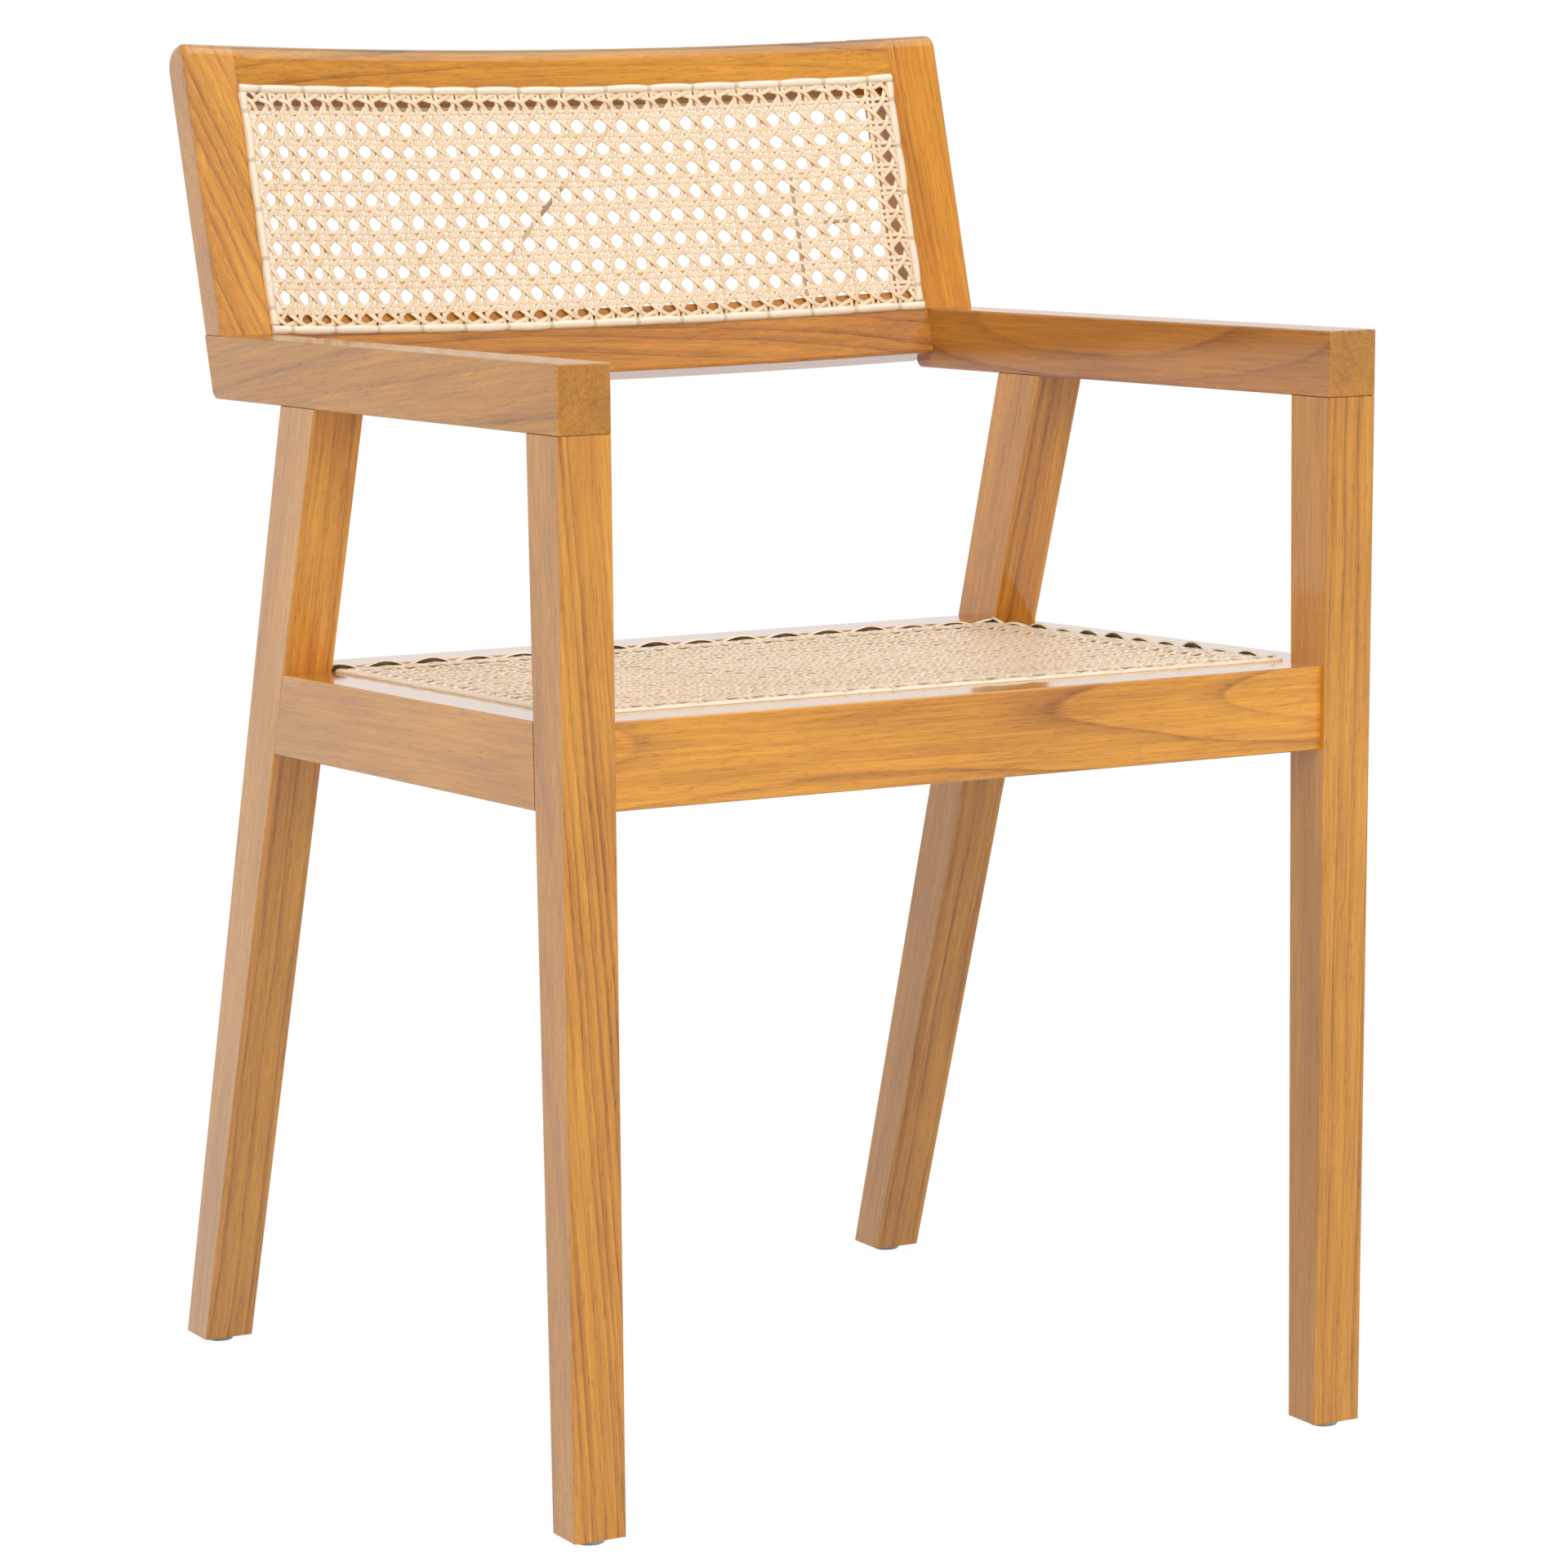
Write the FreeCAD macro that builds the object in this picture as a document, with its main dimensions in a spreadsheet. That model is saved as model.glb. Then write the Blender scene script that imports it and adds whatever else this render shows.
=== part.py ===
import FreeCAD, Part
import math
import os
import re
import Sketcher

# Cane dining armchair
# Lengths are millimetres and angles are degrees. X runs across the chair, Z is up and the sitter faces -Y.
# Distances named "at" are measured backwards from the front of the arms.
# Left and right are as seen from the front.
SIZES = [
    ("overall_width", 524, "across the outer faces of the arms"),
    ("bar_width", 32, "width across X of legs, arms and side rails"),
    ("arm_height", 650, "top of the arm at its front end"),
    ("arm_thick", 38, "height of the arm bar"),
    ("arm_slope", 1.1, "fall of the arm towards the back"),
    ("front_leg_top_depth", 39, "front leg under the arm, front to back"),
    ("front_leg_foot_depth", 28, "front leg at the floor, front to back"),
    ("back_leg_top_at", 317, "front face of the back leg under the arm"),
    ("back_leg_top_depth", 49.5, "back leg under the arm, front to back"),
    ("back_leg_foot_at", 524, "front face of the back leg at the floor"),
    ("back_leg_foot_depth", 31, "back leg at the floor, front to back"),
    ("edge_round", 1.2, "rounding of the wood edges"),
    ("arm_end_round", 7, "rounding of the arm's lower back corner"),
    ("seat_height", 458, "top of the seat frame at the front"),
    ("seat_slope", 1.9, "fall of the seat towards the back"),
    ("rail_height", 49, "height of the seat rails"),
    ("rail_setback", 4.5, "front rail behind the front of the legs"),
    ("front_rail_depth", 51.5, "front rail, front to back"),
    ("back_rail_depth", 55.5, "back rail, front to back"),
    ("stile_width", 34, "width of a stile outside the cane"),
    ("stile_at", 449, "front outer edge of the back's stile, on the arm"),
    ("back_tilt", 16.2, "lean of the back"),
    ("back_bow", 23, "hollow of the back over its whole width"),
    ("back_thick", 28, "thickness of the back frame"),
    ("back_height", 181, "back above the arms, along its lean"),
    ("top_rail_face", 25.5, "top rail above the cane"),
    ("bottom_rail_face", 28.5, "bottom rail below the cane"),
    ("bottom_rail_drop", 27, "bottom rail below the top of the arms"),
    ("top_round", 14, "rounding of the back's upper rear edge"),
    ("top_front_round", 9.5, "rounding of the back's upper front edge"),
    ("bottom_round", 2, "rounding of the back's lower edges"),
    ("stile_round", 4, "rounding of the outer edges of a stile"),
    ("rail_ledge", 10.5, "wood of the top rail that runs on behind the cane"),
    ("low_ledge", 12, "wood of the bottom rail that runs on behind the cane"),
    ("stile_ledge", 5.5, "wood of a stile that runs on behind the cane"),
    ("bevel_width", 5, "bevel at the inner edge of the top rail"),
    ("bevel_depth", 10, "depth of that bevel"),
    ("binding_width", 4.5, "cane strip over the row of peg holes"),
    ("binding_thick", 1.6, "thickness of that strip"),
    ("seat_ledge", 11, "wood of a seat rail that runs on under the cane"),
    ("back_rail_lip", 2.5, "height of the back seat rail behind the cane, above its ledge"),
    ("side_rail_lip", 10, "side rail past the inner face of the legs"),
    ("cane_pitch", 15, "spacing of the woven cane"),
    ("cane_thick", 2.2, "thickness of the weave"),
    ("cane_hole", 8.4, "width of the openings in the weave"),
    ("cane_gap", 0.3, "room between cane and wood"),
    ("tie_width", 1.8, "cane tie over the strip"),
    ("tie_thick", 0.6, "thickness of a tie"),
    ("tie_overhang", 0.6, "tie past each side of the strip"),
    ("glide_height", 4, "foot glide below the leg"),
    ("glide_dia", 22, "foot glide where it meets the leg"),
    ("glide_sole_dia", 16, "flat sole of the glide"),
    ("glide_pin_dia", 4, "pin of the glide in the leg"),
    ("glide_pin_length", 14, "length of that pin"),
    ("dowel_dia", 8, "dowels in the joints"),
    ("dowel_length", 34, "length of a dowel"),
    ("dowel_fit", 0.15, "room round a dowel or a pin"),
    ("dowel_spacing", 22, "two dowels in one end of a seat rail"),
    ("dowel_stagger", 5.5, "height step between rails that meet in one leg"),
]

doc = FreeCAD.newDocument("cane_armchair")
sheet = doc.addObject("Spreadsheet::Sheet", "sizes")
for row, (alias, value, note) in enumerate(SIZES, start=1):
    sheet.set(f"A{row}", note)
    sheet.set(f"B{row}", str(value))
    sheet.setAlias(f"B{row}", alias)
doc.recompute()
ALIASES = {alias for alias, value, note in SIZES}


def size(alias):
    """The value of one size as a number."""
    return float(sheet.get(alias))


def formula(text):
    """A formula in the names of the sizes, as the document's objects need it."""
    def named(match):
        word = match.group(0)
        return f"sizes.{word}" if word in ALIASES else word
    return re.sub(r"[a-z_]+", named, text)


# Places that several pieces share, as formulas
HALF = "(overall_width/2)"
INSIDE = "(overall_width/2 - bar_width)"
STILE_INSIDE = "(overall_width/2 - stile_width)"
DEPTH = "(back_leg_foot_at + back_leg_foot_depth)"


def arm_top(at):
    return f"(arm_height - ({at})*tan(arm_slope))"


def arm_under(at):
    return f"(arm_height - arm_thick - ({at})*tan(arm_slope))"


def seat_top(at):
    return f"(seat_height - ({at})*tan(seat_slope))"


def seat_under(at):
    return f"(seat_height - rail_height - ({at})*tan(seat_slope))"


# A leg face is a straight line from its foot to the underside of the arm:
# at = foot + rise*(height - glide_height)
FRONT_LEG_FOOT = "front_leg_foot_depth"
FRONT_LEG_LENGTH = f"({arm_under('front_leg_top_depth')} - glide_height)"
FRONT_LEG_RISE = f"((front_leg_top_depth - front_leg_foot_depth)/{FRONT_LEG_LENGTH})"
BACK_LEG_FOOT = "back_leg_foot_at"
BACK_LEG_RISE = f"((back_leg_top_at - back_leg_foot_at)/({arm_under('back_leg_top_at')} - glide_height))"
BACK_LEG_REAR_TOP = "(back_leg_top_at + back_leg_top_depth)"
BACK_LEG_REAR_RISE = f"(({BACK_LEG_REAR_TOP} - {DEPTH})/({arm_under(BACK_LEG_REAR_TOP)} - glide_height))"


def meet(foot, rise, height):
    """Where a leg face crosses a line of the seat's slope that starts at this height in front."""
    return f"(({foot} + {rise}*({height} - glide_height))/(1 + {rise}*tan(seat_slope)))"


SEAT_TOP_HEIGHT = "seat_height"
SEAT_LOW_HEIGHT = "(seat_height - rail_height)"
SEAT_MID_HEIGHT = "(seat_height - rail_height/2)"
BACK_RAIL_REAR = meet(DEPTH, BACK_LEG_REAR_RISE, SEAT_TOP_HEIGHT)
BACK_RAIL_FRONT = f"({BACK_RAIL_REAR} - back_rail_depth)"
FRONT_RAIL_REAR = "(rail_setback + front_rail_depth)"

# The back is bent round an upright axis of its own that lies in front of the chair
BEND = "((overall_width^2/4 + back_bow^2)/(2*back_bow))"
BEND_REAR = f"({BEND} + back_thick)"
BEND_SET = f"({BEND} - back_bow)"
CANE_TOP = "(back_height - top_rail_face)"
CANE_LOW = "(bottom_rail_face - bottom_rail_drop)"
STILE_OUTER_DEPTH = f"(sqrt({BEND_REAR}^2 - {HALF}^2) - {BEND_SET})"
ARM_REAR = f"(stile_at + {STILE_OUTER_DEPTH}*(cos(back_tilt) + tan(back_tilt - arm_slope)*sin(back_tilt)))"
ARM_REAR_LOW = f"({ARM_REAR} - arm_thick*tan(back_tilt))"


def set_place(obj, x="0", at="0", z="0", lean=None):
    """Ties an object's place to the sizes; lean turns it backwards about X."""
    if lean:
        obj.Placement = FreeCAD.Placement(FreeCAD.Vector(), FreeCAD.Rotation(FreeCAD.Vector(-1, 0, 0), 1))
        obj.setExpression("Placement.Rotation.Angle", formula(lean))
    obj.setExpression("Placement.Base.x", formula(x))
    obj.setExpression("Placement.Base.y", formula(f"{at} - {DEPTH}/2"))
    obj.setExpression("Placement.Base.z", formula(z))
    return obj


def new_body(label, **place):
    body = doc.addObject("PartDesign::Body", label)
    body.Label = label
    return set_place(body, **place)


def back_body(label):
    """A body in the frame of the back: its Z is the axis that the back is bent round."""
    at = f"stile_at - {BEND_SET}*cos(back_tilt)"
    z = f"{arm_top('stile_at')} + {BEND_SET}*sin(back_tilt)"
    return new_body(label, at=at, z=z, lean="back_tilt")


def outline(body, role, corners, lift="0"):
    """A closed sketch with straight sides; every corner is tied to two formulas."""
    plane = [feature for feature in body.Origin.OriginFeatures if feature.Role == role][0]
    sketch = body.newObject("Sketcher::SketchObject", f"{body.Name}_outline")
    sketch.AttachmentSupport = [(plane, "")]
    sketch.MapMode = "FlatFace"
    sketch.setExpression("AttachmentOffset.Base.z", formula(lift))
    count = len(corners)
    start_radius = 100
    ring = []
    for i in range(count):
        turn = 2*math.pi*i/count
        ring.append(FreeCAD.Vector(start_radius*math.cos(turn), start_radius*math.sin(turn), 0))
    for i in range(count):
        sketch.addGeometry(Part.LineSegment(ring[i], ring[(i + 1) % count]))
    for i in range(count):
        sketch.addConstraint(Sketcher.Constraint("Coincident", i, 2, (i + 1) % count, 1))
    for i, corner in enumerate(corners):
        for direction, start, text in zip(("DistanceX", "DistanceY"), ring[i], corner):
            index = sketch.addConstraint(Sketcher.Constraint(direction, -1, 1, i, 1, start))
            sketch.setExpression(f"Constraints[{index}]", formula(text))
    doc.recompute()
    return sketch


def pad(body, sketch, length):
    feature = body.newObject("PartDesign::Pad", f"{body.Name}_pad")
    feature.Profile = sketch
    feature.setExpression("Length", formula(length))
    doc.recompute()
    return feature


def bend(body, sketch, half_length):
    """Turns a section round the body's Z, as far as half_length to each side of the middle."""
    feature = body.newObject("PartDesign::Revolution", f"{body.Name}_bend")
    feature.Profile = sketch
    feature.ReferenceAxis = (sketch, ["V_Axis"])
    feature.Midplane = True
    feature.setExpression("Angle", formula(f"2*asin({half_length}/{BEND})"))
    doc.recompute()
    return feature


def ease(body, radius, chosen):
    """Rounds those edges of the body's last feature for which chosen(edge) holds."""
    base = body.Tip
    names = []
    for index, edge in enumerate(base.Shape.Edges, start=1):
        if chosen(edge):
            names.append(f"Edge{index}")
    feature = body.newObject("PartDesign::Fillet", f"{body.Name}_round")
    feature.Base = (base, names)
    feature.setExpression("Radius", formula(radius))
    doc.recompute()
    return feature


def middle(edge):
    return edge.valueAt((edge.FirstParameter + edge.LastParameter)/2)


def runs_across(edge):
    return abs(edge.Vertexes[0].X - edge.Vertexes[-1].X) > 1


def longer_than(length):
    return lambda edge: edge.Length > length


def through(point):
    """Chooses the edge with its middle near this point."""
    return lambda edge: middle(edge).distanceToPoint(point) < 1


# Dowels and their holes
dowel_groups = {}
holes_of = {}


def along(axis):
    """The turn that lays an upright cylinder along x or y, or leaves it along z."""
    turns = {"x": ((0, 1, 0), 90), "y": ((1, 0, 0), -90), "z": ((0, 0, 1), 0)}
    direction, degrees = turns[axis]
    return FreeCAD.Rotation(FreeCAD.Vector(*direction), degrees)


def peg(name, axis, dia, length, x, at, z, fit="0"):
    """A cylinder with its middle at x, at, z."""
    cylinder = doc.addObject("Part::Cylinder", name)
    cylinder.Placement = FreeCAD.Placement(FreeCAD.Vector(), along(axis))
    cylinder.setExpression("Radius", formula(f"{dia}/2 + {fit}"))
    cylinder.setExpression("Height", formula(f"{length} + 2*{fit}"))
    start = f"({length}/2 + {fit})"
    x = f"{x} - {start}" if axis == "x" else x
    at = f"{at} - {start}" if axis == "y" else at
    z = f"{z} - {start}" if axis == "z" else z
    cylinder.setExpression("Placement.Base.x", formula(x))
    cylinder.setExpression("Placement.Base.y", formula(f"{at} - {DEPTH}/2"))
    cylinder.setExpression("Placement.Base.z", formula(z))
    return cylinder


def dowel(group, pieces, axis, x, at, z):
    """One dowel, and the hole for it in each of the two pieces that it joins."""
    count = len(dowel_groups.setdefault(group, []))
    dowel_groups[group].append(peg(f"{group}_{count}", axis, "dowel_dia", "dowel_length", x, at, z))
    hole = peg(f"{group}_hole_{count}", axis, "dowel_dia", "dowel_length", x, at, z, fit="dowel_fit")
    for piece in pieces:
        holes_of.setdefault(piece, []).append(hole)


def drilled(label, blank):
    """The finished piece: the blank without its dowel and pin holes."""
    blank.Label = f"{label}_blank"
    cut = doc.addObject("Part::Cut", f"{label}_drilled")
    cut.Label = label
    holes = doc.addObject("Part::Compound", f"{label}_holes")
    holes.Links = holes_of[label]
    cut.Base = blank
    cut.Tool = holes
    return cut


SIDES = [("left", -1), ("right", 1)]


def bar_x(sign):
    """Where a bar of the full width starts, so that its outer face is flush with the chair's side."""
    return f"-{HALF}" if sign < 0 else INSIDE


def bar_mid(sign):
    return f"{sign}*({HALF} - bar_width/2)"


pieces = {}

# Legs and arms
FRONT_LEG_SIDE = [
    ("0", "glide_height"),
    ("front_leg_foot_depth", "glide_height"),
    ("front_leg_top_depth", arm_under("front_leg_top_depth")),
    ("0", arm_under("0")),
]
BACK_LEG_SIDE = [
    ("back_leg_foot_at", "glide_height"),
    (DEPTH, "glide_height"),
    (BACK_LEG_REAR_TOP, arm_under(BACK_LEG_REAR_TOP)),
    ("back_leg_top_at", arm_under("back_leg_top_at")),
]
ARM_SIDE = [
    ("0", arm_under("0")),
    (ARM_REAR_LOW, arm_under(ARM_REAR_LOW)),
    (ARM_REAR, arm_top(ARM_REAR)),
    ("0", arm_top("0")),
]
LONG_EDGE = 200
for side, sign in SIDES:
    for label, profile in ((f"front_leg_{side}", FRONT_LEG_SIDE), (f"back_leg_{side}", BACK_LEG_SIDE)):
        leg = new_body(label, x=bar_x(sign))
        pad(leg, outline(leg, "YZ_Plane", profile), "bar_width")
        ease(leg, "edge_round", longer_than(LONG_EDGE))
        pieces[label] = leg
    label = f"arm_{side}"
    arm = new_body(label, x=bar_x(sign))
    pad(arm, outline(arm, "YZ_Plane", ARM_SIDE), "bar_width")
    rear_low = min((middle(edge) for edge in arm.Tip.Shape.Edges if middle(edge).y > size("stile_at")),
                   key=lambda point: point.z)
    ease(arm, "arm_end_round", through(rear_low))
    ease(arm, "edge_round", lambda edge: edge.Length > size("bar_width")/2)
    pieces[label] = arm

# Seat rails
SIDE_RAIL_SIDE = []
for foot, rise in ((FRONT_LEG_FOOT, FRONT_LEG_RISE), (BACK_LEG_FOOT, BACK_LEG_RISE)):
    ends = [SEAT_LOW_HEIGHT, SEAT_TOP_HEIGHT] if foot == BACK_LEG_FOOT else [SEAT_TOP_HEIGHT, SEAT_LOW_HEIGHT]
    for height in ends:
        at = meet(foot, rise, height)
        SIDE_RAIL_SIDE.append((at, f"({height} - {at}*tan(seat_slope))"))
SIDE_RAIL_LIP = [
    (FRONT_RAIL_REAR, seat_under(FRONT_RAIL_REAR)),
    (BACK_RAIL_FRONT, seat_under(BACK_RAIL_FRONT)),
    (BACK_RAIL_FRONT, seat_top(BACK_RAIL_FRONT)),
    (FRONT_RAIL_REAR, seat_top(FRONT_RAIL_REAR)),
]
for side, sign in SIDES:
    label = f"seat_rail_{side}"
    rail = new_body(label, x=bar_x(sign))
    pad(rail, outline(rail, "YZ_Plane", SIDE_RAIL_SIDE), "bar_width")
    lip_from = "bar_width" if sign < 0 else "-side_rail_lip"
    pad(rail, outline(rail, "YZ_Plane", SIDE_RAIL_LIP, lift=lip_from), "side_rail_lip")
    ease(rail, "edge_round", longer_than(LONG_EDGE))
    pieces[label] = rail
CROSS_RAILS = [
    ("seat_rail_front", "rail_setback", FRONT_RAIL_REAR),
    ("seat_rail_back", BACK_RAIL_FRONT, BACK_RAIL_REAR),
]
for label, front, rear in CROSS_RAILS:
    rail = new_body(label, x=f"-{INSIDE}")
    corners = [(front, seat_under(front)), (rear, seat_under(rear)),
               (rear, seat_top(rear)), (front, seat_top(front))]
    pad(rail, outline(rail, "YZ_Plane", corners), f"2*{INSIDE}")
    ease(rail, "edge_round", longer_than(LONG_EDGE))
    pieces[label] = rail
LIP_FRONT = f"({BACK_RAIL_FRONT} + seat_ledge + 2*cane_gap)"
LIP_REAR = f"({BACK_RAIL_REAR} - edge_round)"
BACK_LIP = [(LIP_FRONT, seat_top(LIP_FRONT)), (LIP_REAR, seat_top(LIP_REAR))]
BACK_LIP += [(at, f"({low} + back_rail_lip)") for at, low in reversed(BACK_LIP)]
back_rail = pieces["seat_rail_back"]
pad(back_rail, outline(back_rail, "YZ_Plane", BACK_LIP), f"2*{INSIDE}")
lip_top = max(middle(edge).z for edge in back_rail.Tip.Shape.Edges) - 0.8*size("back_rail_lip")
ease(back_rail, "edge_round/2", lambda edge: edge.Length > LONG_EDGE and middle(edge).z > lip_top)

# Stiles of the back
# A stile is a bar with the bend's two faces, a narrower strip of wood behind the cane, and a foot on the arm.
FOOT_ANGLE = "(back_tilt - arm_slope)"
CUT_LOW = "(bottom_rail_drop + bottom_rail_face)"


def on_front(x):
    return f"sqrt({BEND}^2 - ({x})^2)"


def on_rear(x):
    return f"sqrt({BEND_REAR}^2 - ({x})^2)"


for side, sign in SIDES:
    label = f"back_stile_{side}"
    stile = back_body(label)
    bar = [(STILE_INSIDE, on_front(STILE_INSIDE)), (HALF, on_front(HALF)),
           (HALF, on_rear(HALF)), (STILE_INSIDE, on_rear(STILE_INSIDE))]
    ledge_end = f"({STILE_INSIDE} - stile_ledge)"
    ledge = [(ledge_end, on_front(ledge_end)), (STILE_INSIDE, on_front(STILE_INSIDE)),
             (STILE_INSIDE, on_rear(STILE_INSIDE)), (ledge_end, on_rear(ledge_end))]
    bar = [(f"{sign}*{x}", y) for x, y in bar]
    ledge = [(f"{sign}*{x}", y) for x, y in ledge]
    pad(stile, outline(stile, "XY_Plane", bar, lift=f"-{CUT_LOW}"), f"back_height + {CUT_LOW}")
    upper = [middle(edge) for edge in stile.Tip.Shape.Edges if runs_across(edge)]
    upper = [point for point in upper if point.z > max(other.z for other in upper) - 1]
    front_edge = min(upper, key=lambda point: point.y)
    rear_edge = max(upper, key=lambda point: point.y)
    outer = size("overall_width")/2
    ease(stile, "top_round", through(rear_edge))
    ease(stile, "top_front_round", through(front_edge))
    ease(stile, "stile_round", lambda edge: abs(middle(edge).x) > outer - 0.1)
    low = f"({CANE_LOW} + low_ledge)"
    high = f"({CANE_TOP} - rail_ledge)"
    pad(stile, outline(stile, "XY_Plane", ledge, lift=low), f"{high} - {low}")
    foot = [
        (f"{BEND_SET} - back_thick", f"-back_thick*tan({FOOT_ANGLE})"),
        (f"{BEND_SET} + 3*back_thick", f"3*back_thick*tan({FOOT_ANGLE})"),
        (f"{BEND_SET} + 3*back_thick", f"-2*{CUT_LOW}"),
        (f"{BEND_SET} - back_thick", f"-2*{CUT_LOW}"),
    ]
    cut = stile.newObject("PartDesign::Pocket", f"{label}_foot")
    cut.Profile = outline(stile, "YZ_Plane", foot)
    cut.Type = "ThroughAll"
    cut.SideType = "Symmetric"
    doc.recompute()
    pieces[label] = stile


# Rails of the back
def room_between(name, half_width):
    """A block as wide as the space that a rail fills."""
    room = set_place(doc.addObject("Part::Box", name), x=f"-{half_width}", at="0", z="0")
    room.setExpression("Length", formula(f"2*{half_width}"))
    room.setExpression("Width", formula(f"2*{DEPTH}"))
    room.setExpression("Height", formula("2*arm_height"))
    return room


TOP_RAIL = [
    (f"{BEND} + bevel_depth", f"{CANE_TOP} - rail_ledge"),
    (BEND_REAR, f"{CANE_TOP} - rail_ledge"),
    (BEND_REAR, "back_height"),
    (BEND, "back_height"),
    (BEND, f"{CANE_TOP} - rail_ledge + bevel_width"),
]
BOTTOM_RAIL = [
    (BEND, "-bottom_rail_drop"),
    (BEND_REAR, "-bottom_rail_drop"),
    (BEND_REAR, f"{CANE_LOW} + low_ledge"),
    (BEND, f"{CANE_LOW} + low_ledge"),
]


def bent_rail(label, section):
    rail = back_body(f"{label}_bent")
    bend(rail, outline(rail, "YZ_Plane", section), HALF)
    return rail


def corner_edge(radius, height):
    """Chooses the bent edge at this distance from the axis and this height along the back."""
    def chosen(edge):
        if edge.Length < LONG_EDGE:
            return False
        point = edge.Vertexes[0].Point
        return abs(math.hypot(point.x, point.y) - radius) < 0.1 and abs(point.z - height) < 0.1
    return chosen


bend_radius = (size("overall_width")**2/4 + size("back_bow")**2)/(2*size("back_bow"))
top_rail = bent_rail("back_top_rail", TOP_RAIL)
ease(top_rail, "top_round", corner_edge(bend_radius + size("back_thick"), size("back_height")))
ease(top_rail, "top_front_round", corner_edge(bend_radius, size("back_height")))
bottom_rail = bent_rail("back_bottom_rail", BOTTOM_RAIL)
ease(bottom_rail, "bottom_round", corner_edge(bend_radius, -size("bottom_rail_drop")))
ease(bottom_rail, "bottom_round", corner_edge(bend_radius + size("back_thick"), -size("bottom_rail_drop")))
BACK_RAILS = [("back_top_rail", top_rail, STILE_INSIDE), ("back_bottom_rail", bottom_rail, INSIDE)]
for label, rail, half_width in BACK_RAILS:
    trimmed = doc.addObject("Part::Common", f"{label}_trimmed")
    trimmed.Base = rail
    trimmed.Tool = room_between(f"{label}_room", half_width)
    pieces[label] = trimmed
# The bottom rail reaches the arms, so its upper corners are notched for the feet of the stiles
stiles = doc.addObject("Part::Compound", "stile_blanks")
stiles.Links = [pieces["back_stile_left"], pieces["back_stile_right"]]
notched = doc.addObject("Part::Cut", "back_bottom_rail_notched")
notched.Base = pieces["back_bottom_rail"]
notched.Tool = stiles
pieces["back_bottom_rail"] = notched

# Dowels that hold the frame together
FRONT_DOWELS = ["front_leg_top_depth/3", "2*front_leg_top_depth/3"]
BACK_DOWELS = ["back_leg_top_at + 0.38*back_leg_top_depth", "back_leg_top_at + 0.72*back_leg_top_depth"]
CROSS_RAIL_DOWELS = [
    ("front", "seat_rail_front", "(rail_setback + front_leg_top_depth)/2"),
    ("back", "seat_rail_back", f"({BACK_RAIL_FRONT} + 2*back_rail_depth/3)"),
]
SIDE_RAIL_DOWELS = [("front", FRONT_LEG_FOOT, FRONT_LEG_RISE), ("back", BACK_LEG_FOOT, BACK_LEG_RISE)]
for side, sign in SIDES:
    for leg, places in (("front_leg", FRONT_DOWELS), ("back_leg", BACK_DOWELS)):
        for at in places:
            dowel("arm_dowels", [f"{leg}_{side}", f"arm_{side}"], "z", bar_mid(sign), at, arm_under(at))
    for step in (-1, 1):
        for end, rail, at in CROSS_RAIL_DOWELS:
            z = f"{seat_top(at)} - rail_height/2 + dowel_stagger + {step}*dowel_spacing/2"
            dowel("seat_rail_dowels", [rail, f"{end}_leg_{side}"], "x", f"{sign}*{INSIDE}", at, z)
        for end, foot, rise in SIDE_RAIL_DOWELS:
            height = f"({SEAT_MID_HEIGHT} - dowel_stagger + {step}*dowel_spacing/2)"
            at = meet(foot, rise, height)
            z = f"({height} - {at}*tan(seat_slope))"
            dowel("seat_rail_dowels", [f"seat_rail_{side}", f"{end}_leg_{side}"], "y", bar_mid(sign), at, z)


def back_place(depth, height):
    """Distance back and height above the floor of a point in the frame of the back."""
    at = f"(stile_at + ({depth})*cos(back_tilt) + ({height})*sin(back_tilt))"
    z = f"({arm_top('stile_at')} - ({depth})*sin(back_tilt) + ({height})*cos(back_tilt))"
    return at, z


JOINT_DEPTH = f"(({on_front(INSIDE)} + {on_rear(INSIDE)})/2 - {BEND_SET})"
TOP_DOWELS = ["back_height - 0.4*top_rail_face", "back_height - 1.1*top_rail_face"]
LOW_DOWELS = ["-0.35*bottom_rail_drop", "-0.8*bottom_rail_drop"]
for side, sign in SIDES:
    for height in TOP_DOWELS:
        at, z = back_place(JOINT_DEPTH, height)
        dowel("back_dowels", ["back_top_rail", f"back_stile_{side}"], "x", f"{sign}*{STILE_INSIDE}", at, z)
    for height in LOW_DOWELS:
        at, z = back_place(JOINT_DEPTH, height)
        x = f"{sign}*({INSIDE} - dowel_length/5)"
        dowel("back_dowels", ["back_bottom_rail", f"arm_{side}"], "x", x, at, z)
    at, z = back_place(JOINT_DEPTH, f"{JOINT_DEPTH}*tan({FOOT_ANGLE})")
    dowel("back_dowels", [f"back_stile_{side}", f"arm_{side}"], "z", f"{sign}*({HALF} - bar_width/4)", at, z)

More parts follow.
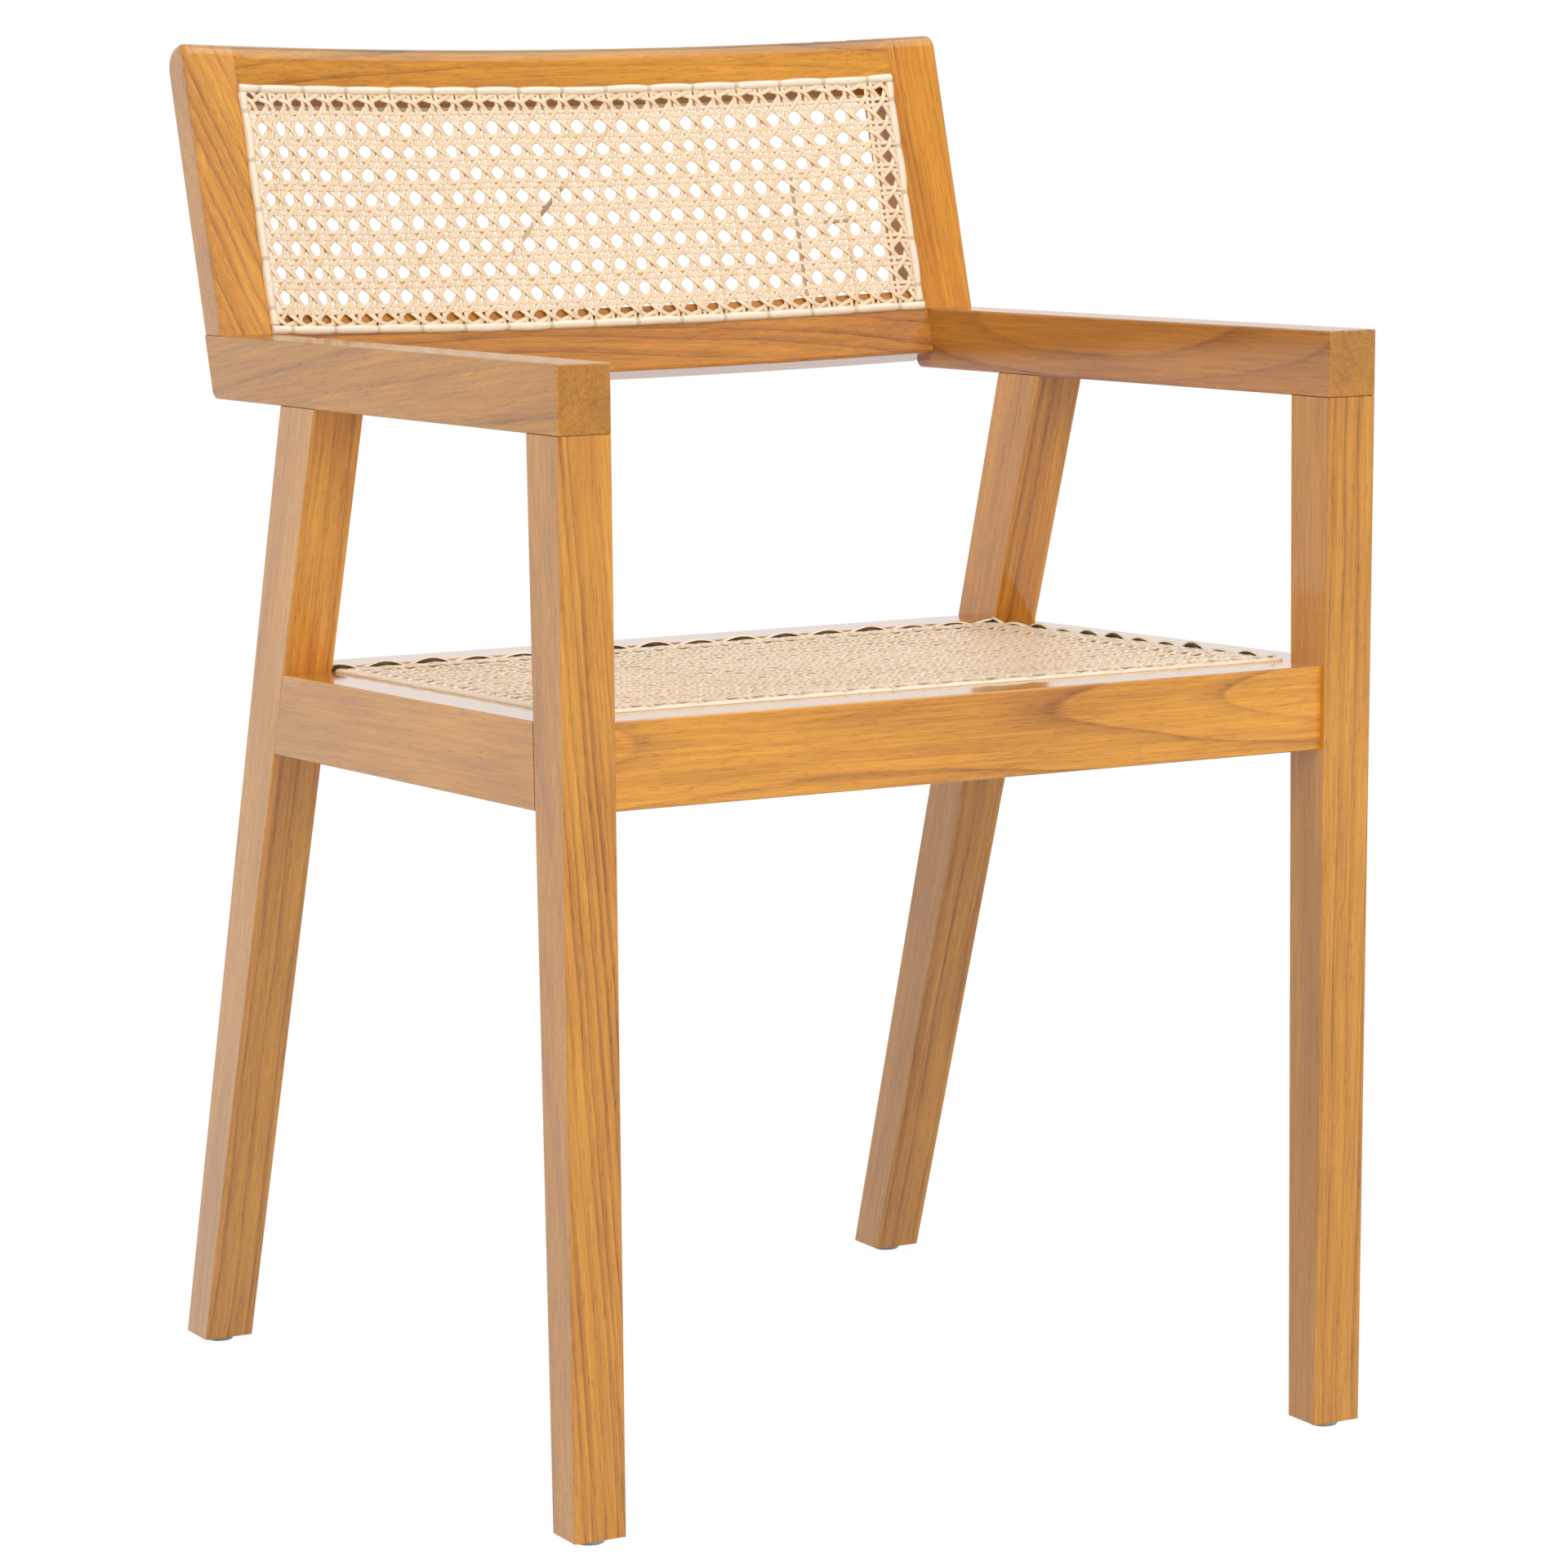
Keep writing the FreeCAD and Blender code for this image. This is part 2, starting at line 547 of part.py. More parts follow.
# Foot glides
FEET = [("front", "front_leg_foot_depth/2"), ("back", "back_leg_foot_at + back_leg_foot_depth/2")]
GLIDE_HALF = [
    ("0", "0"),
    ("glide_sole_dia/2", "0"),
    ("0.42*glide_dia", "0.4*glide_height"),
    ("glide_dia/2", "glide_height"),
    ("glide_pin_dia/2", "glide_height"),
    ("glide_pin_dia/2", "glide_height + glide_pin_length"),
    ("0", "glide_height + glide_pin_length"),
]
for side, sign in SIDES:
    for end, at in FEET:
        glide = new_body(f"glide_{end}_{side}", x=bar_mid(sign), at=at)
        turned = glide.newObject("PartDesign::Revolution", f"{glide.Name}_turned")
        sketch = outline(glide, "XZ_Plane", GLIDE_HALF)
        turned.Profile = sketch
        turned.ReferenceAxis = (sketch, ["V_Axis"])
        turned.Angle = 360
        pin = peg(f"glide_hole_{end}_{side}", "z", "glide_pin_dia", "2*glide_pin_length", bar_mid(sign), at,
                  "glide_height", fit="dowel_fit")
        holes_of.setdefault(f"{end}_leg_{side}", []).append(pin)
doc.recompute()

# Strips of the seat: front and back ones run the whole width, side ones fit between them
SEAT_LEFT = f"({INSIDE} - side_rail_lip + seat_ledge)"
SEAT_FRONT = f"({FRONT_RAIL_REAR} - seat_ledge)"
SEAT_BACK = f"({BACK_RAIL_FRONT} + seat_ledge)"
SEAT_LENGTH = f"(({SEAT_BACK} - {SEAT_FRONT})/cos(seat_slope))"
STRIP_STEP = "(binding_width + cane_gap)"
SEAT_NEAR = f"({SEAT_FRONT} + {STRIP_STEP}*cos(seat_slope))"
SIDE_LENGTH = f"({SEAT_LENGTH} - 2*{STRIP_STEP})"
BACK_STRIP = f"({SEAT_BACK} - binding_width*cos(seat_slope))"
SEAT_STRIPS = [
    ("front", f"-{SEAT_LEFT}", SEAT_FRONT, f"2*{SEAT_LEFT}", "binding_width"),
    ("back", f"-{SEAT_LEFT}", BACK_STRIP, f"2*{SEAT_LEFT}", "binding_width"),
    ("left", f"-{SEAT_LEFT}", SEAT_NEAR, "binding_width", SIDE_LENGTH),
    ("right", f"{SEAT_LEFT} - binding_width", SEAT_NEAR, "binding_width", SIDE_LENGTH),
]
strips = []
for side, x, at, across, along_seat in SEAT_STRIPS:
    seat_strip = doc.addObject("Part::Box", f"seat_binding_{side}")
    set_place(seat_strip, x=x, at=at, z=seat_top(at), lean="seat_slope")
    seat_strip.setExpression("Length", formula(across))
    seat_strip.setExpression("Width", formula(along_seat))
    seat_strip.setExpression("Height", formula("binding_thick"))
    strips.append(seat_strip)

# Strips of the back: the long ones follow the bend
STRIP_FAR = f"({BEND} - cane_gap)"
STRIP_NEAR = f"({BEND} - cane_gap - binding_thick)"
STRIP_END = f"({STILE_INSIDE} - cane_gap)"
for side, low in (("top", f"({CANE_TOP} - binding_width)"), ("bottom", CANE_LOW)):
    back_strip = back_body(f"back_binding_{side}")
    high = f"({low} + binding_width)"
    section = [(STRIP_NEAR, low), (STRIP_FAR, low), (STRIP_FAR, high), (STRIP_NEAR, high)]
    bend(back_strip, outline(back_strip, "YZ_Plane", section), STRIP_END)
    strips.append(back_strip)
STRIP_START = f"({STRIP_END} - binding_width)"
STRIP_FOOT = f"({CANE_LOW} + {STRIP_STEP})"
for side, sign in SIDES:
    back_strip = back_body(f"back_binding_{side}")
    section = []
    for radius, ends in ((STRIP_NEAR, (STRIP_START, STRIP_END)), (STRIP_FAR, (STRIP_END, STRIP_START))):
        for x in ends:
            section.append((f"{sign}*{x}", f"sqrt({radius}^2 - {x}^2)"))
    upright = f"{CANE_TOP} - {CANE_LOW} - 2*{STRIP_STEP}"
    pad(back_strip, outline(back_strip, "XY_Plane", section, lift=STRIP_FOOT), upright)
    strips.append(back_strip)
doc.recompute()

finished = [drilled(label, blank) for label, blank in pieces.items()]
for group, members in dowel_groups.items():
    together = doc.addObject("Part::Compound", group)
    together.Label = group
    together.Links = members
    finished.append(together)
for side, sign in SIDES:
    for end, at in FEET:
        finished.append(doc.getObject(f"glide_{end}_{side}"))
finished.extend(strips)
doc.recompute()


# Woven cane, and the ties over its edge strips
worked = doc.addObject("Spreadsheet::Sheet", "worked")


def number(text):
    """A formula worked out with the present sizes."""
    worked.set("A1", f"={formula(text)}")
    worked.recompute()
    return float(worked.get("A1"))


def add_shape(label, shape, place):
    feature = doc.addObject("Part::Feature", label)
    feature.Label = label
    feature.Shape = shape
    feature.Placement = place.multiply(shape.Placement)
    finished.append(feature)


depth = number(DEPTH)
lean = FreeCAD.Rotation(FreeCAD.Vector(-1, 0, 0), size("back_tilt"))
back_origin = FreeCAD.Vector(0, number("stile_at") - depth/2, number(arm_top("stile_at")))
back_frame = FreeCAD.Placement(back_origin, lean)
bend_axis = FreeCAD.Vector(0, -number(BEND_SET), 0)
seat_fall = FreeCAD.Rotation(FreeCAD.Vector(-1, 0, 0), size("seat_slope"))
seat_frame = FreeCAD.Placement(FreeCAD.Vector(0, -depth/2, size("seat_height")), seat_fall)

gap = size("cane_gap")
strip = size("binding_width")
strip_thick = size("binding_thick")
weave_thick = size("cane_thick")
cane_side = number(STILE_INSIDE)
seat_left = number(SEAT_LEFT)
seat_front = number(f"{SEAT_FRONT}/cos(seat_slope)")
seat_back = number(f"{SEAT_BACK}/cos(seat_slope)")
cane_low = number(CANE_LOW)
cane_top = number(CANE_TOP)


def steps(length):
    """How many weave steps fit a length, at least one."""
    return max(1, round(length/size("cane_pitch")))


def loop(points):
    return Part.makePolygon(points + points[:1])


def sheet_solid(columns, rows, corner):
    """A sheet with one opening in each cell; corner(i, j, behind) gives the points of its grid."""
    faces = []
    radius = size("cane_hole")/2
    for i in range(columns):
        front = [corner(i, 0), corner(i + 1, 0), corner(i + 1, rows), corner(i, rows)]
        back = [corner(i, 0, weave_thick), corner(i + 1, 0, weave_thick),
                corner(i + 1, rows, weave_thick), corner(i, rows, weave_thick)]
        push = (back[0] + back[1] - front[0] - front[1])*0.5
        circles = []
        for j in range(rows):
            centre = (corner(i, j) + corner(i + 1, j + 1) + corner(i + 1, j) + corner(i, j + 1))*0.25
            circles.append(Part.Circle(centre, push, radius).toShape())
        for corners, openings in ((front, circles), (back, [circle.translated(push) for circle in circles])):
            wires = [loop(corners)] + [Part.Wire(opening) for opening in openings]
            faces.append(Part.makeFace(wires, "Part::FaceMakerBullseye"))
        faces.extend(circle.extrude(push) for circle in circles)
        for a, b in ((0, 1), (3, 2)):
            faces.append(Part.Face(loop([front[a], front[b], back[b], back[a]])))
    for i in (0, columns):
        faces.append(Part.Face(loop([corner(i, 0), corner(i, rows), corner(i, rows, weave_thick),
                                     corner(i, 0, weave_thick)])))
    shell = Part.makeShell(faces)
    shell.sewShape()
    solid = Part.makeSolid(shell)
    if solid.Volume < 0:
        solid.reverse()
    return solid


def bent_point(radius, angle, height):
    return FreeCAD.Vector(radius*math.sin(angle), radius*math.cos(angle), height) + bend_axis


# The back's sheet is a row of narrow flat strips that follow the bend
back_half_angle = math.asin((cane_side - strip - gap)/bend_radius)
back_columns = steps(2*cane_side - strip)
back_rows = steps(cane_top - cane_low - strip)
back_low = cane_low + strip + gap
back_high = cane_top - strip - gap


def back_corner(i, j, behind=0.0):
    angle = back_half_angle*(2*i/back_columns - 1)
    height = back_low + (back_high - back_low)*j/back_rows
    return bent_point(bend_radius - gap - weave_thick + behind, angle, height)


seat_half = seat_left - strip - gap
seat_near = seat_front + strip + gap
seat_far = seat_back - strip - gap
seat_columns = steps(2*seat_left - strip)
seat_rows = steps(seat_back - seat_front - strip)


def seat_corner(i, j, behind=0.0):
    x = seat_half*(2*i/seat_columns - 1)
    y = seat_near + (seat_far - seat_near)*j/seat_rows
    return FreeCAD.Vector(x, y, gap + weave_thick - behind)


add_shape("back_cane_panel", sheet_solid(back_columns, back_rows, back_corner), back_frame)
add_shape("seat_cane_panel", sheet_solid(seat_columns, seat_rows, seat_corner), seat_frame)


def block(low, high):
    span = high - low
    return Part.makeBox(span.x, span.y, span.z, low)


# Ties: one over every second peg hole
strip_near = bend_radius - gap - strip_thick
side_angle = math.asin((cane_side - strip/2 - gap)/bend_radius)
tie = size("tie_width")
tie_thick = size("tie_thick")
tie_long = strip + 2*size("tie_overhang")
TIE_STEP = 2


def tie_shares(count):
    """Places of the ties along a side, as shares of its length."""
    return [k/count for k in range(1, count, TIE_STEP)]


seat_ties = []
seat_high = strip_thick + tie_thick
for share in tie_shares(seat_columns):
    x = seat_left*(2*share - 1)
    for y in (seat_front + strip/2, seat_back - strip/2):
        seat_ties.append(block(FreeCAD.Vector(x - tie/2, y - tie_long/2, strip_thick),
                               FreeCAD.Vector(x + tie/2, y + tie_long/2, seat_high)))
for share in tie_shares(seat_rows):
    y = seat_front + (seat_back - seat_front)*share
    for x in (-seat_left + strip/2, seat_left - strip/2):
        seat_ties.append(block(FreeCAD.Vector(x - tie_long/2, y - tie/2, strip_thick),
                               FreeCAD.Vector(x + tie_long/2, y + tie/2, seat_high)))
add_shape("seat_binding_ties", Part.makeCompound(seat_ties), seat_frame)

back_ties = []
tie_far = strip_near - gap
tie_near = tie_far - tie_thick


def back_tie(angle, height, across, upright):
    solid = block(FreeCAD.Vector(-across/2, tie_near, height - upright/2),
                  FreeCAD.Vector(across/2, tie_far, height + upright/2))
    solid.rotate(FreeCAD.Vector(), FreeCAD.Vector(0, 0, 1), -math.degrees(angle))
    solid.translate(bend_axis)
    return solid


for share in tie_shares(back_columns):
    for height in (cane_low + strip/2, cane_top - strip/2):
        back_ties.append(back_tie(back_half_angle*(2*share - 1), height, tie, tie_long))
for share in tie_shares(back_rows):
    for sign in (-1, 1):
        height = cane_low + (cane_top - cane_low)*share
        back_ties.append(back_tie(sign*side_angle, height, tie_long, tie))
add_shape("back_binding_ties", Part.makeCompound(back_ties), back_frame)
doc.recompute()

# Check every object, then write one file for each piece
for obj in doc.Objects:
    if "Invalid" in obj.State or "Error" in obj.State:
        raise RuntimeError(f"{obj.Label} did not build: {obj.State}")
os.makedirs("parts", exist_ok=True)
for piece in finished:
    if piece.Shape.isNull() or not piece.Shape.isValid():
        raise RuntimeError(f"{piece.Label} has no valid shape")
    piece.Shape.exportStep(os.path.join("parts", f"{piece.Label}.step"))
    print(piece.Label, len(piece.Shape.Solids), round(piece.Shape.Volume))
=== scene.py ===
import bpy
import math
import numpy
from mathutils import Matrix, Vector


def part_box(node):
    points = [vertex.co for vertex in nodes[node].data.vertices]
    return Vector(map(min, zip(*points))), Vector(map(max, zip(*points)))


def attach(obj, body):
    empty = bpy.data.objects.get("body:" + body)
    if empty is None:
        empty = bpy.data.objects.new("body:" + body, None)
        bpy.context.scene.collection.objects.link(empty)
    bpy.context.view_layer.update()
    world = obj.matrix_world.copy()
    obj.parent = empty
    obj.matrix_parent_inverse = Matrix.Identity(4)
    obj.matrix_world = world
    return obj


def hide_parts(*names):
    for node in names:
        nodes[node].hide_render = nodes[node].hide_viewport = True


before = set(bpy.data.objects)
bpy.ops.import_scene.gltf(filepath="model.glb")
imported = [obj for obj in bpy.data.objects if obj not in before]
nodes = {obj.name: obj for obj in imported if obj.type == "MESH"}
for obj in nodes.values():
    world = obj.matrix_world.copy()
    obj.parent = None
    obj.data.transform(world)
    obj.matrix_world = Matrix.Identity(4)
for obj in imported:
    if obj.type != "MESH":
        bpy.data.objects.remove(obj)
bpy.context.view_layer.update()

# %% [markdown]
# A cane dining armchair
# The chair is a straight wooden frame with a woven cane seat and a woven cane back. The wooden pieces come
# from the frame as they are and get a wood finish here. The cane is woven strand by strand, because the
# flat sheets of the frame have no strands, and its edge strips are modelled as reeds that are held down by
# ties.

MM = 0.001
print("pieces in the frame", len(nodes))

# %% [markdown]
# The camera
# The photograph was taken with a long lens from the chair's left, from a little above its back. Its place
# was found by fitting a pinhole camera to the chair's edges, so the lens is given in pixels of the
# photograph. The lens axis doesn't meet the middle of the picture, and the camera's shift makes up for
# that.

# %% Camera
PHOTO_SIZE = 1920
FOCAL_PIXELS = 6460
AXIS_PIXEL = (982, 1359)
SENSOR_WIDTH = 36
CAMERA_PLACE = Vector((-1.5045, -2.7857, 0.8403))
CAMERA_TURN = math.radians(28.945)
CAMERA_DIP = math.radians(11.951)
CAMERA_ROLL = math.radians(-0.36)

bpy.ops.object.select_all(action="DESELECT")
bpy.ops.object.camera_add()
camera = bpy.context.object
camera.data.sensor_width = SENSOR_WIDTH
camera.data.lens = FOCAL_PIXELS/PHOTO_SIZE*SENSOR_WIDTH
camera.data.shift_x = 0.5 - AXIS_PIXEL[0]/PHOTO_SIZE
camera.data.shift_y = AXIS_PIXEL[1]/PHOTO_SIZE - 0.5
look = Matrix.Rotation(-CAMERA_TURN, 4, "Z")
look = look @ Matrix.Rotation(math.pi/2 - CAMERA_DIP, 4, "X")
look = look @ Matrix.Rotation(CAMERA_ROLL, 4, "Z")
camera.matrix_world = Matrix.Translation(CAMERA_PLACE) @ look
bpy.context.scene.camera = camera
print("lens in millimetres", round(camera.data.lens, 1))

# %% [markdown]
# Floor and light
# A white room is a wide floor, a soft sky of even light and large lamps. The floor and the sky look plain
# white to the camera and in reflections, while the light that they give to the chair stays at a plain
# level. Two lamps light the colours of the surfaces, and the third one only makes them shine.

# %% Helper for materials


def add_node(tree, kind, inputs=None, **settings):
    """A new node; inputs maps socket names to values or to sockets of other nodes."""
    made = tree.nodes.new(kind)
    for setting, value in settings.items():
        setattr(made, setting, value)
    for socket, value in (inputs or {}).items():
        if isinstance(value, bpy.types.NodeSocket):
            tree.links.new(value, made.inputs[socket])
        else:
            made.inputs[socket].default_value = value
    return made


def math_node(tree, operation, *values):
    """The result of a sum or a comparison; each value is a number or a socket."""
    made = tree.nodes.new("ShaderNodeMath")
    made.operation = operation
    for index, value in enumerate(values):
        if isinstance(value, bpy.types.NodeSocket):
            tree.links.new(value, made.inputs[index])
        else:
            made.inputs[index].default_value = value
    return made.outputs[0]


def new_material(name):
    """An empty material and its node tree."""
    made = bpy.data.materials.new(name)
    made.use_nodes = True
    made.node_tree.nodes.clear()
    return made, made.node_tree


def dress(piece, finish):
    """Give a piece one material in place of those that it has."""
    piece.data.materials.clear()
    piece.data.materials.append(finish)


def seen_directly(tree):
    """1 for rays from the camera and for mirrored or passed rays, else 0."""
    path = tree.nodes.new("ShaderNodeLightPath")
    seen = math_node(tree, "MAXIMUM", path.outputs["Is Camera Ray"], path.outputs["Is Glossy Ray"])
    return math_node(tree, "MAXIMUM", seen, path.outputs["Is Transmission Ray"])


# %% Sky
SKY_LIGHT = 0.55
WHITE = (1, 1, 1, 1)
bpy.context.scene.view_settings.view_transform = "Standard"
world = bpy.data.worlds.new("studio")
world.use_nodes = True
bpy.context.scene.world = world
sky = world.node_tree
sky.nodes.clear()
even = add_node(sky, "ShaderNodeBackground", {"Color": WHITE, "Strength": SKY_LIGHT})
white = add_node(sky, "ShaderNodeBackground", {"Color": WHITE, "Strength": 1})
either = add_node(sky, "ShaderNodeMixShader", {
    0: seen_directly(sky), 1: even.outputs[0], 2: white.outputs[0]})
add_node(sky, "ShaderNodeOutputWorld", {"Surface": either.outputs[0]})
print("light of the sky", SKY_LIGHT)

# %% Floor
FLOOR_SIZE = 12
FLOOR_WHITE = 0.93
FLOOR_GREY = (0.55, 0.55, 0.55, 1)
FLOOR_GLOW = 1.05
bpy.ops.mesh.primitive_plane_add(size=FLOOR_SIZE)
floor = bpy.context.object
floor.name = "floor"
paint, tree = new_material("floor_paint")
matt = add_node(tree, "ShaderNodeBsdfDiffuse", {"Color": FLOOR_GREY})
glow = add_node(tree, "ShaderNodeEmission", {"Color": WHITE, "Strength": FLOOR_GLOW})
share = math_node(tree, "MULTIPLY", seen_directly(tree), FLOOR_WHITE)
mixed = add_node(tree, "ShaderNodeMixShader", {0: share, 1: matt.outputs[0], 2: glow.outputs[0]})
add_node(tree, "ShaderNodeOutputMaterial", {"Surface": mixed.outputs[0]})
dress(floor, paint)
print("floor", FLOOR_SIZE, "metres wide")

# %% Lamps
# name, place, width, watts, whether it is for the surface colour or for the shine on edges
LAMPS = [
    ("key_lamp", (-0.2, -3.0, 2.5), 2.4, 66, "colour"),
    ("side_lamp", (-2.4, -0.6, 2.2), 1.8, 14, "colour"),
    ("top_lamp", (0.6, -0.3, 3.2), 3.0, 60, "shine"),
]
AIM = Vector((0, 0, 0.45))
for name, place, side, watts, purpose in LAMPS:
    bpy.ops.object.light_add(type="AREA", location=place)
    lamp = bpy.context.object
    lamp.name = name
    lamp.data.shape = "SQUARE"
    lamp.data.size = side
    lamp.data.energy = watts
    lamp.visible_camera = False
    lamp.visible_glossy = purpose == "shine"
    lamp.visible_diffuse = purpose == "colour"
    lamp.rotation_euler = (AIM - Vector(place)).to_track_quat("-Z", "Y").to_euler()
print("lamps", len(LAMPS))

# %% [markdown]
# Wood
# The frame is a light brown hardwood with an oiled, slightly shining surface. A flat picture of grain would
# stop at every edge, so the grain here is solid: year rings round a pith that lies behind each piece, as in
# the log that it was sawn from. Where a face cuts the rings at a low angle it shows arches, and elsewhere
# it shows straight lines. Each year starts with a sharp dark line of pores that fades into paler wood.

# %% Year rings: the distance from the pith
rings = bpy.data.node_groups.new("year_rings", "ShaderNodeTree")
rings.interface.new_socket("Place", in_out="INPUT", socket_type="NodeSocketVector")
for socket in ("Bend", "Squeeze", "Seed"):
    rings.interface.new_socket(socket, in_out="INPUT", socket_type="NodeSocketFloat")
rings.interface.new_socket("Distance", in_out="OUTPUT", socket_type="NodeSocketFloat")
start = rings.nodes.new("NodeGroupInput")


def drawn_noise(tree, start, along, across, detail, roughness=0.5):
    """Noise that is drawn out along the grain; along and across are waves per metre."""
    scaled = add_node(tree, "ShaderNodeVectorMath", {0: start.outputs["Place"], 1: (along, across, across)},
                      operation="MULTIPLY")
    return add_node(tree, "ShaderNodeTexNoise", {
        "Vector": scaled.outputs[0], "W": start.outputs["Seed"], "Scale": 1.0, "Detail": detail,
        "Roughness": roughness}, noise_dimensions="4D")


# how far the rings wander, in metres; its waves per metre along and across the grain, and their detail
WANDER = 0.007
WANDER_WAVES = (8.0, 26.0, 2.0)
wander = drawn_noise(rings, start, *WANDER_WAVES)
centred = add_node(rings, "ShaderNodeVectorMath", {0: wander.outputs["Color"], 1: (0.5, 0.5, 0.5)},
                   operation="SUBTRACT")
waved = add_node(rings, "ShaderNodeVectorMath", {0: centred.outputs[0], 1: (0, WANDER, WANDER),
                                                 2: start.outputs["Place"]}, operation="MULTIPLY_ADD")
parts = add_node(rings, "ShaderNodeSeparateXYZ", {0: waved.outputs[0]})
along_squared = math_node(rings, "MULTIPLY", parts.outputs["X"], parts.outputs["X"])
depth = math_node(rings, "MULTIPLY_ADD", along_squared, start.outputs["Bend"], parts.outputs["Y"])
aside = math_node(rings, "MULTIPLY", parts.outputs["Z"], start.outputs["Squeeze"])
aside_squared = math_node(rings, "MULTIPLY", aside, aside)
distance = math_node(rings, "SQRT", math_node(rings, "MULTIPLY_ADD", depth, depth, aside_squared))
end = rings.nodes.new("NodeGroupOutput")
rings.links.new(distance, end.inputs["Distance"])
print("nodes of the year rings", len(rings.nodes))

# %% Wood colour: fibres, pores and year lines
figure = bpy.data.node_groups.new("wood_figure", "ShaderNodeTree")
figure.interface.new_socket("Place", in_out="INPUT", socket_type="NodeSocketVector")
for socket in ("Line", "Seed"):
    figure.interface.new_socket(socket, in_out="INPUT", socket_type="NodeSocketFloat")
figure.interface.new_socket("Colour", in_out="OUTPUT", socket_type="NodeSocketColor")
for socket in ("Shine", "Relief"):
    figure.interface.new_socket(socket, in_out="OUTPUT", socket_type="NodeSocketFloat")
start = figure.nodes.new("NodeGroupInput")


def ramp(tree, factor, stops):
    """A colour ramp; stops are (position, grey or colour) pairs."""
    made = add_node(tree, "ShaderNodeValToRGB", {"Fac": factor})
    elements = made.color_ramp.elements
    while len(elements) < len(stops):
        elements.new(0.5)
    for element, (position, colour) in zip(elements, stops):
        element.position = position
        element.color = (*colour, 1) if isinstance(colour, tuple) else (colour, colour, colour, 1)
    return made.outputs["Color"]


def blended(tree, blend, factor, first, second):
    """Two colours, each a socket or a value, blended by a factor."""
    made = add_node(tree, "ShaderNodeMix", {"Factor": factor}, data_type="RGBA", blend_type=blend)
    for index, value in ((6, first), (7, second)):
        if isinstance(value, bpy.types.NodeSocket):
            tree.links.new(value, made.inputs[index])
        else:
            made.inputs[index].default_value = (*value, 1)
    return made.outputs[2]


PALE_WOOD = (0.86, 0.378, 0.041)
DEEP_WOOD = (0.54, 0.205, 0.020)
LINE_WOOD = (0.28, 0.090, 0.013)
PORE_WOOD = (0.50, 0.36, 0.30)
# waves per metre along and across the grain, and their detail
FIBRE_WAVES = (10.0, 380.0, 3.0)
GRAIN_WAVES = (22.0, 900.0, 2.0)
PORE_WAVES = (110.0, 1500.0, 1.0)
CLOUD_WAVES = (5.0, 36.0, 2.0)
BREAK_WAVES = (40.0, 500.0, 2.0)
FIBRE_ROUGHNESS = 0.6
fibres = drawn_noise(figure, start, *FIBRE_WAVES, FIBRE_ROUGHNESS).outputs["Fac"]
grain = drawn_noise(figure, start, *GRAIN_WAVES).outputs["Fac"]
pores = drawn_noise(figure, start, *PORE_WAVES).outputs["Fac"]
clouds = drawn_noise(figure, start, *CLOUD_WAVES).outputs["Fac"]
breaks = drawn_noise(figure, start, *BREAK_WAVES).outputs["Fac"]
tone = math_node(figure, "MULTIPLY", fibres, 0.35)
tone = math_node(figure, "MULTIPLY_ADD", grain, 0.3, tone)
tone = math_node(figure, "MULTIPLY_ADD", clouds, 0.35, tone)
colour = blended(figure, "MIX", ramp(figure, tone, [(0.38, 0.0), (0.62, 1.0)]), DEEP_WOOD, PALE_WOOD)
dashes = math_node(figure, "MULTIPLY", ramp(figure, breaks, [(0.32, 0.45), (0.58, 1.0)]),
                   ramp(figure, clouds, [(0.36, 1.0), (0.62, 0.4)]))
line_share = math_node(figure, "MULTIPLY", start.outputs["Line"], dashes)
colour = blended(figure, "MIX", line_share, colour, LINE_WOOD)
pore_mask = ramp(figure, pores, [(0.57, 0.0), (0.70, 1.0)])
pore_depth = math_node(figure, "MULTIPLY_ADD", line_share, 0.4, 0.45)
pore_share = math_node(figure, "MULTIPLY", pore_mask, pore_depth)
colour = blended(figure, "MULTIPLY", pore_share, colour, PORE_WOOD)
shine = math_node(figure, "MULTIPLY_ADD", fibres, 0.2, 0.30)
relief = math_node(figure, "SUBTRACT", math_node(figure, "MULTIPLY", fibres, 0.3), pore_mask)
end = figure.nodes.new("NodeGroupOutput")
for name, value in (("Colour", colour), ("Shine", shine), ("Relief", relief)):
    figure.links.new(value, end.inputs[name])
print("nodes of the wood figure", len(figure.nodes))

# %% [markdown]
# Boards
# Boards differ in the width of their year lines and in their shine, and each board's colour is scaled by
# factors of its own. For some boards these factors are painted light and shade: the right arm and the right
# front leg are darkened as painted shade, and the left seat rail and both back legs are lightened as painted
# light. End grain is darker and plainer than the faces along the grain. Two more choices are made for the
# look of the chair: faces that look up are darkened as painted shade, and most faces that look to the left
# show weaker lines.

# %% How the boards differ, with painted light and shade
NO_TINT = (1.0, 1.0, 1.0)
# colour factors of each board: arm_right and front_leg_right are darkened all over as painted shade for their
# shaded inner sides; seat_rail_left, back_leg_left and back_leg_right are lightened as painted light, the
# back legs also made less orange against orange bounce light; the others only make a board lighter or darker
BOARD_TONES_AND_PAINTED_LIGHT = {
    "arm_right": (0.80, 0.74, 0.95),
    "back_bottom_rail": (0.82, 0.76, 0.70),
    "back_stile_right": (0.94, 0.87, 0.50),
    "back_top_rail": (0.92, 0.91, 0.74),
    "back_leg_left": (1.10, 1.16, 1.8),
    "back_leg_right": (1.02, 1.05, 1.26),
    "front_leg_right": (0.94, 0.95, 1.0),
    "seat_rail_front": (1.10, 1.10, 1.03),
    "seat_rail_left": (1.08, 1.08, 1.0),
}
END_GRAIN = (0.71, 0.72, 0.71)
